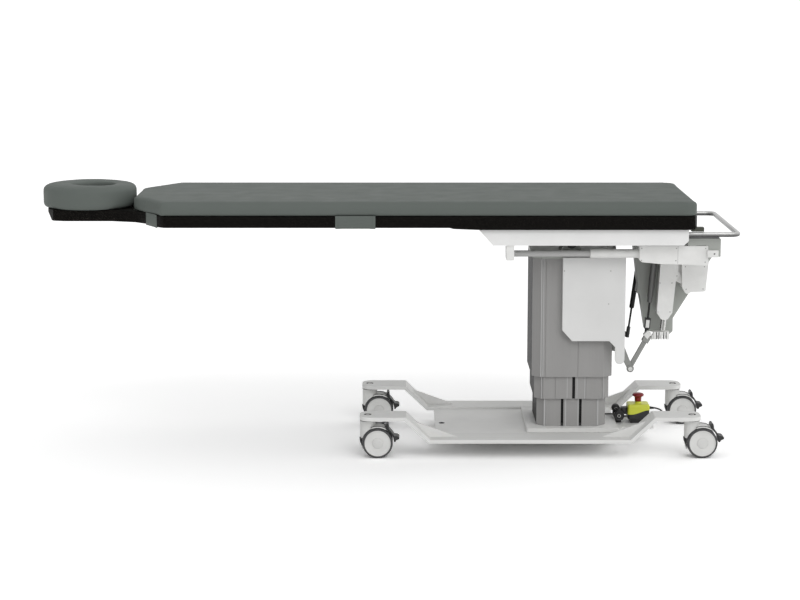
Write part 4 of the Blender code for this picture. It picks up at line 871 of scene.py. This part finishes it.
def stop_lead():
    """The lead from the stop box to the column, with a ribbed sleeve and a grommet at its ends."""
    route = smooth_route(LEAD_POINTS, 6)
    lead = piece("stop_lead_cord", made_of(sweep, route, circle(LEAD_RADIUS, 16)), 60, "base",
                 "black_plastic", "lead", ("stop_lead",))
    sleeve = bmesh.new()
    profile = [(0, LEAD_RADIUS + 0.0001), (0, 0.006), (0.0022, 0.0064)]
    for k in range(6):
        along = 0.003 + k * 0.0026
        radius = 0.0053 - k * 0.00028
        profile += [(along, radius - 0.0006), (along + 0.0004, radius), (along + 0.0017, radius - 0.0001),
                    (along + 0.0021, radius - 0.0006)]
    profile += [(0.0192, 0.0034), (0.0194, LEAD_RADIUS + 0.0001)]
    start = vec(LEAD_POINTS[0]) - Vector((0.0086, 0, -0.0006))
    ring_lathe(sleeve, profile, start, vec(LEAD_POINTS[1]) - start, 24)
    piece("stop_lead_sleeve", sleeve, 30, "base", "black_plastic")
    grommet = made_of(ring_lathe, mm((0, 3), (0, 6.8), (1.6, 6.6), (2.4, 5.6), (3.8, 4.8), (4.4, 3.8),
                                     (4.4, 3)), GROMMET_AT, (1, 0, 0), 24)
    piece("stop_lead_grommet", grommet, 30, "base", "black_plastic")


def wave(x):
    """Height of the seam between the yellow cover and the black base of the stop box."""
    t = min(1, max(0, (x - STOP_BOX_X[0] - 0.016) / (STOP_BOX_X[1] - STOP_BOX_X[0] - 0.022)))
    return 0.0912 + 0.015 * (t * t * (3 - 2 * t) * 0.6 + t * 0.4)


def rounded_plan(x, half_y, radius, spacing=0.003):
    """Outline of a rounded box in plan, with points all along its sides, anticlockwise."""
    corners = ((x[1] - radius, -half_y + radius, -90), (x[1] - radius, half_y - radius, 0),
               (x[0] + radius, half_y - radius, 90), (x[0] + radius, -half_y + radius, 180))
    line = []
    for u, v, start in corners:
        turn = arc((u, v), radius, start, start + 90, 5)
        if line:
            line += between(line[-1], turn[0], spacing)
        line += turn
    return line + between(line[-1], line[0], spacing)


def between(first, last, spacing):
    count = int(math.dist(first, last) / spacing)
    return [tuple(a + (b - a) * k / count for a, b in zip(first, last)) for k in range(1, count)]


def stop_box():
    """Yellow cover with a swept lower edge on a black base, and a mushroom button on a collar."""
    outer = rounded_plan(STOP_BOX_X, STOP_BOX_HALF_Y, 0.007)
    middle = ((STOP_BOX_X[0] + STOP_BOX_X[1]) / 2, 0)

    def ring(height, back=0):
        half = (STOP_BOX_X[1] - STOP_BOX_X[0]) / 2
        across, deep = 1 - back / half, 1 - back / STOP_BOX_HALF_Y
        return [(middle[0] + (x - middle[0]) * across, y * deep, height(x) if callable(height) else height)
                for x, y in outer]

    cover = bmesh.new()
    shoulder = STOP_TOP_Z - 0.0062
    rings = [ring(lambda x: wave(x) + 0.001, 0.0016), ring(wave), ring(lambda x: wave(x) + 0.0012, -0.0002)]
    rings.append(ring(shoulder))
    for angle in (30, 60, 90):
        a = math.radians(angle)
        rings.append(ring(shoulder + 0.0055 * math.sin(a), 0.0055 * (1 - math.cos(a))))
    rings.append(ring(STOP_TOP_Z - 0.0002, 0.016))
    skin_stack(cover, rings)
    lathe(cover, mm((0, 11.4), (0.8, 10.8), (1.8, 9.9), (9.8, 9.7), (9.8, 0)),
          (STOP_BUTTON_X, 0, STOP_TOP_Z - 0.0004), (0, 0, 1), 48)
    piece("stop_cover_moulding", cover, 35, "base", "stop_yellow", None, ("stop_box_cover",))
    base = bmesh.new()
    rings = [ring(STOP_SKIRT_Z + up, back) for up, back in mm((1.2, 3.2), (0.2, 2), (1.4, 0.4), (11.5, 0.4))]
    rings += [ring(lambda x: wave(x) - 0.0004, 0.0004), ring(lambda x: wave(x) - 0.0001, 0.002)]
    skin_stack(base, rings)
    foot_x = (STOP_BOX_X[0] + 0.01, STOP_BOX_X[1] - 0.01)
    box(base, foot_x, (-0.023, 0.023), (STOP_FOOT_Z, STOP_SKIRT_Z + 0.002))
    piece("stop_base_moulding", base, 35, "base", "black_plastic", None, ("stop_box_base",))
    button = bmesh.new()
    profile = mm((0, 10.1), (0, 10.4), (0.8, 10.9), (11, 11.4), (15, 12.2), (16.6, 13.4), (17.8, 16),
                 (19, 18.4), (20.4, 19.4), (22.5, 19.7), (24.6, 19), (26.6, 17), (28.2, 13), (29.2, 7.5),
                 (29.5, 0))
    lathe(button, profile, (STOP_BUTTON_X, 0, 0.1312), (0, 0, 1), 64)
    piece("stop_mushroom", button, 60, "stop_button", "stop_red", None, ("stop_button",))


def stop_clamp():
    """The black swivel clamp that carries the box: a stepped arm, two round knobs and a saddle on the pan."""
    arm = made_of(box, (0.801, 0.8205), (-0.0145, 0.0145), (0.0885, 0.112))
    box(arm, (0.786, 0.804), (-0.012, 0.012), (0.076, 0.108))
    box(arm, (0.7815, 0.8025), (-0.012, 0.012), (STOP_FOOT_Z, 0.074))
    box(arm, (0.784, 0.8), (-0.0105, 0.0105), (0.0735, 0.086))
    body = smooth_again(edge_rounding(keep("stop_clamp_arm", arm), 0.0022, 3))
    dress(body, "base", "black_plastic", None, ("stop_bracket",))
    knobs = bmesh.new()
    eyes = bmesh.new()
    for x, front, z, radius in STOP_KNOBS:
        back = -front * 0.3 + 0.014
        deep = back - front
        profile = [(0, 0), (0, radius * 0.52), (0.0012, radius * 0.6), (0.0012, radius * 0.72),
                   (0.0002, radius * 0.8), (0.0006, radius * 0.9), (0.0026, radius), (0.012, radius),
                   (0.014, radius * 0.93), (0.015, radius * 0.93), (0.017, radius), (deep - 0.003, radius),
                   (deep, radius * 0.85), (deep, 0)]
        lathe(knobs, profile, (x, front, z), (0, 1, 0), 48)
        ring_lathe(eyes, [(0.0004, radius * 0.22), (-0.0007, radius * 0.24), (-0.0007, radius * 0.31),
                          (0.0004, radius * 0.34)], (x, front, z), (0, 1, 0), 32)
    piece("stop_clamp_knobs", knobs, 35, "base", "black_plastic")
    piece("stop_knob_rings", eyes, 50, "base", "bright_steel")


# Column: painted shade in dark end panels and slot inserts, painted highlights in light edge strips

COLUMN_X = 0.621
COLUMN_CUT_Y = 0.025
SLOT_DEPTH = 0.0062
TRIM = 0.0003
# Stage: its body, half its length and width, and its height from and to
STAGES = {"outer": ("outer_stage", 0.13325, 0.15, (0.245, 0.642)),
          "middle": ("middle_stage", 0.124, 0.14075, (0.169, 0.56)),
          "lower": ("base", 0.11475, 0.1315, (0.0745, 0.455))}
# Slots that get painted shade, and bright lips of painted highlight: place along X and width
SLOTS = {"lower": ((0.5906, 0.009), (0.6514, 0.009)), "middle": ((0.6275, 0.0096),)}
HIGHLIGHT_LINES = {"lower": ((0.5318, 0.0055), (0.6022, 0.0035), (0.6438, 0.0035), (0.7095, 0.005)),
                "middle": ((0.5205, 0.0022), (0.606, 0.0022), (0.6388, 0.0022), (0.665, 0.0026),
                           (0.7275, 0.0022)),
                "outer": ((0.5165, 0.0026), (0.5235, 0.0022))}


def around(centre, width, less=0):
    return centre - width / 2 + less, centre + width / 2 - less


def column_trim():
    """Painted shade in dark panels in the column's end faces and dark inserts in its slots, and painted
    highlights in the bright lips beside them.
    """
    for name, (body, half_x, half_y, span) in STAGES.items():
        dark = bmesh.new()
        bright = bmesh.new()
        feet = bmesh.new()
        tall = (span[0] + 0.0006, span[1] - 0.0006)
        edge = half_y - COLUMN_CUT_Y - 0.0004
        for side in (-1, 1):
            face = COLUMN_X + side * half_x
            # Painted shade: a dark panel over this end face.
            box(dark, sorted((face - side * 0.0005, face + side * TRIM)), (-edge, edge), tall)
            wall = side * half_y
            back = side * (half_y - SLOT_DEPTH)
            # Painted shade: dark inserts at the back of each slot and on its walls.
            for x, width in SLOTS.get(name, ()):
                box(dark, around(x, width, 0.0001), sorted((back, back + side * 0.0008)), tall)
                for end in (-1, 1):
                    lip = sorted((x + end * (width / 2 - 0.0001), x + end * (width / 2 - 0.0009)))
                    box(dark, lip, sorted((back, wall - side * 0.0004)), tall)
                if name == "lower":
                    foot = sorted((back, wall - side * TRIM))
                    box(feet, around(x, width, 0.0012), foot, (tall[0], tall[0] + 0.0085))
            # Painted highlight: bright strips along the side face.
            for x, width in HIGHLIGHT_LINES[name]:
                box(bright, around(x, width), sorted((wall - side * 0.001, wall + side * TRIM)), tall)
        piece(name + "_column_shade_panels", dark, 30, body, "column_grey", "column_painted_shade")
        piece(name + "_column_highlight_lips", bright, 30, body, "column_grey", "column_painted_highlight")
        if name == "lower":
            piece("lower_column_feet", feet, 30, body, "black_plastic")
        else:
            feet.free()


PAN_HOLE = (0.1907, -0.021, 0.0536)


def pan_hole():
    """A black cup in the hole of the pan."""
    shape = made_of(ring_lathe, mm((0, 6), (0, 8.3), (6.4, 8.3), (6.6, 9.6), (6, 10), (7.4, 9.8), (7.8, 8.4),
                                   (7.2, 6)), PAN_HOLE, (0, 0, 1), 40)
    lathe(shape, mm((0.2, 0), (0.2, 6.4), (1, 6.4), (1, 0)), PAN_HOLE, (0, 0, 1), 40)
    piece("pan_hole_cup", shape, 30, "base", "black_plastic")


# Drives: screws, seams, end fittings and small hardware

# Screws: body, level of the face in Y, radius, and places (x, z)
SCREWS = {
    "slide_box": ("cradle", -0.25, 0.002, ((0.8334, 0.6905), (0.9463, 0.6905), (1.0407, 0.6905),
        (0.8331, 0.6509), (0.9448, 0.6502), (1.0401, 0.6453))),
    "slide_clip": ("cradle", -0.2623, 0.0026, ((1.0678, 0.6739),)),
    "tilt_housing": ("tilt_drive", -0.095, 0.0021, ((0.9138, 0.5527), (0.9537, 0.5527), (0.9091, 0.4549),
        (0.9491, 0.4549), (0.9699, 0.5763))),
    "tilt_motor": ("tilt_drive", -0.105, 0.002, ((0.996, 0.609), (1, 0.533), (1.0559, 0.5341),
        (1.059, 0.609))),
    "side_cover": ("outer_stage", -0.1763, 0.002, ((0.7414, 0.6053), (0.7362, 0.4954), (0.5893, 0.6053))),
}


def screw_heads():
    """Small socket screws in the near faces of the drives and the cover."""
    for name, (body, face, radius, spots) in SCREWS.items():
        heads = bmesh.new()
        for x, z in spots:
            ring_lathe(heads, [(0.0004, radius * 0.45), (-0.0004, radius * 0.5), (-0.0006, radius * 0.8),
                               (-0.0001, radius), (0.0004, radius)], (x, face, z), (0, 1, 0), 20)
            lathe(heads, [(-0.0001, 0), (-0.0001, radius * 0.47), (0.0004, radius * 0.47), (0.0004, 0)],
                  (x, face, z), (0, 1, 0), 6)
        tone = "screw_dark" if name == "slide_clip" else "screw_pale"
        piece(name + "_screws", heads, 35, body, "black_plastic", tone)


def along_axis(start, stop, pairs):
    """Points (x, z) beside a line: each pair is a distance along it and one across it."""
    way = (Vector(stop) - Vector(start)).normalized()
    side = Vector((way.y, -way.x))
    return [tuple(Vector(start) + way * run + side * off) for run, off in pairs]


SPRING_LOW = (0.8751, 0.388)
SPRING_HIGH = (0.899, 0.668)
SPRING_Y = -0.07
SLEEVE_SPAN = (0.115, 0.27)
ROD_LOW = (0.931, 0.428)
ROD_HIGH = (0.955, 0.66)
COLLAR = ((0.8631, 0.3752), (0.8768, 0.3596), (0.8903, 0.379), (0.877, 0.3905))
LINK_EYE = (0.82, 0.262)
YOKE_SLOTS = (0.907, 0.915, 0.931, 0.939)


def spring_block(name, run, half, deep, round_edge, slot):
    """A block round the near spring's line, from one run along it to another."""
    shape = bmesh.new()
    corners = ((run[0], -half), (run[0], half), (run[1], half), (run[1], -half))
    prism(shape, along_axis(SPRING_LOW, SPRING_HIGH, corners), "Y", SPRING_Y - deep, SPRING_Y + deep)
    dress(edge_rounding(keep(name, shape), round_edge), "near_spring_rod", slot)


def drive_fittings():
    """Clevis and sleeve of the near spring, strut collar, link eye, slots of the yoke, groove of the rod."""
    spring_block("near_spring_clevis", (0.008, 0.043), 0.0095, 0.0085, 0.0012, "black_plastic")
    spring_block("near_spring_block", (0.0105, 0.037), 0.006, 0.0092, 0.0008, "drive_white")
    dress(edge_rounding(keep("strut_collar", made_of(prism, COLLAR, "Y", -0.085, -0.061)), 0.0012),
          "outer_stage", "drive_white")
    sleeve = bmesh.new()
    way = (Vector(SPRING_HIGH) - Vector(SPRING_LOW)).normalized()
    start = Vector(SPRING_LOW) + way * SLEEVE_SPAN[0]
    length = SLEEVE_SPAN[1] - SLEEVE_SPAN[0]
    ring_lathe(sleeve, [(0, 0.008), (0, 0.009), (0.0012, 0.0098), (length, 0.0098), (length, 0.008)],
               (start.x, SPRING_Y, start.y), (way.x, 0, way.y), 36)
    piece("near_spring_sleeve", sleeve, 40, "near_spring", "black_plastic", "spring_grey")
    cap = made_of(lathe, mm((0, 0), (0, 11.8), (0.8, 12.5), (2, 12.5), (2, 0)),
                  (LINK_EYE[0], -0.0937, LINK_EYE[1]), (0, 1, 0), 40)
    piece("link_eye_cap", cap, 40, "outer_stage", "bracket_grey", "strut_grey")
    bolt = made_of(ring_lathe, mm((0, 4.6), (-1.8, 5), (-1.8, 7.2), (0, 7.6)),
                   (LINK_EYE[0], -0.0962, LINK_EYE[1]), (0, 1, 0), 32)
    piece("link_bolt_rim", bolt, 40, "outer_stage", "bright_steel")
    gaps = bmesh.new()
    for x in YOKE_SLOTS:
        box(gaps, (x - 0.0014, x + 0.0014), (-0.0862, -0.0858), (0.3615, 0.385))
    piece("rod_yoke_slots", gaps, 30, "outer_stage", "black_plastic")
    groove = bmesh.new()
    corners = mm((-37, -3), (-37, 3), (20, 3), (20, -3))
    prism(groove, along_axis(ROD_LOW, ROD_HIGH, corners), "Y", -0.0826, -0.078)
    piece("tilt_rod_groove", groove, 30, "tilt_rod", "black_plastic", "strut_grey")


def small_hardware():
    """Seam, block and comb of the slide drive, a dark sheet of painted shade on the foot bracket's top, and
    the panel's latch.
    """
    piece("slide_box_seam", made_of(box, (0.9506, 0.9515), (-0.2502, -0.249), (0.64, 0.698)), 30,
          "cradle", "drive_white", "strut_grey")
    # Painted shade: a thin dark sheet over the foot bracket's top face.
    piece("foot_bracket_top_shade", made_of(box, (0.9845, 1.085), (-0.2525, -0.213), (0.7232, 0.7256)), 35,
          "cradle", "black_plastic", "screw_dark")
    pale = made_of(box, (0.988, 1.009), (-0.247, -0.23), (0.698, 0.7085))
    dress(edge_rounding(keep("slide_box_block", pale), 0.0008), "cradle", "drive_white")
    comb = made_of(box, (1.011, 1.043), (-0.244, -0.23), (0.698, 0.704))
    for rib in range(7):
        box(comb, (1.0115 + rib * 0.0046, 1.014 + rib * 0.0046), (-0.246, -0.23), (0.698, 0.7075))
    piece("slide_box_comb", comb, 30, "cradle", "drive_white", "strut_grey")
    dress(edge_rounding(keep("panel_latch", made_of(box, (0.989, 1.029), (-0.289, -0.264), (0.75, 0.7638))),
                        0.0012), "top", "black_plastic", "latch_olive")


studio()
stop_lead()
stop_box()
stop_clamp()
finish_nodes()
for node_name, width in (
    ("near_side_rail", 0.0046), ("far_side_rail", 0.0046), ("base_pan", 0.001), ("column_plinth", 0.001),
    ("carbon_top", 0.002), ("near_side_cover", 0.0012), ("far_side_cover", 0.0012), ("v_bracket", 0.0008),
    ("roll_cradle", 0.001), ("foot_end_bracket", 0.001), ("slide_motor_box", 0.0014), ("slide_lug", 0.0012),
    ("near_top_rail", 0.001), ("far_top_rail", 0.001), ("tilt_actuator_housing", 0.0014),
):
    softened(node_name, width)

mattress_pad()
face_ring()
for strap, ends in STRAP_STATIONS.items():
    strap_band(strap, ends)
caster_details()
column_trim()
pan_hole()
screw_heads()
drive_fittings()
small_hardware()
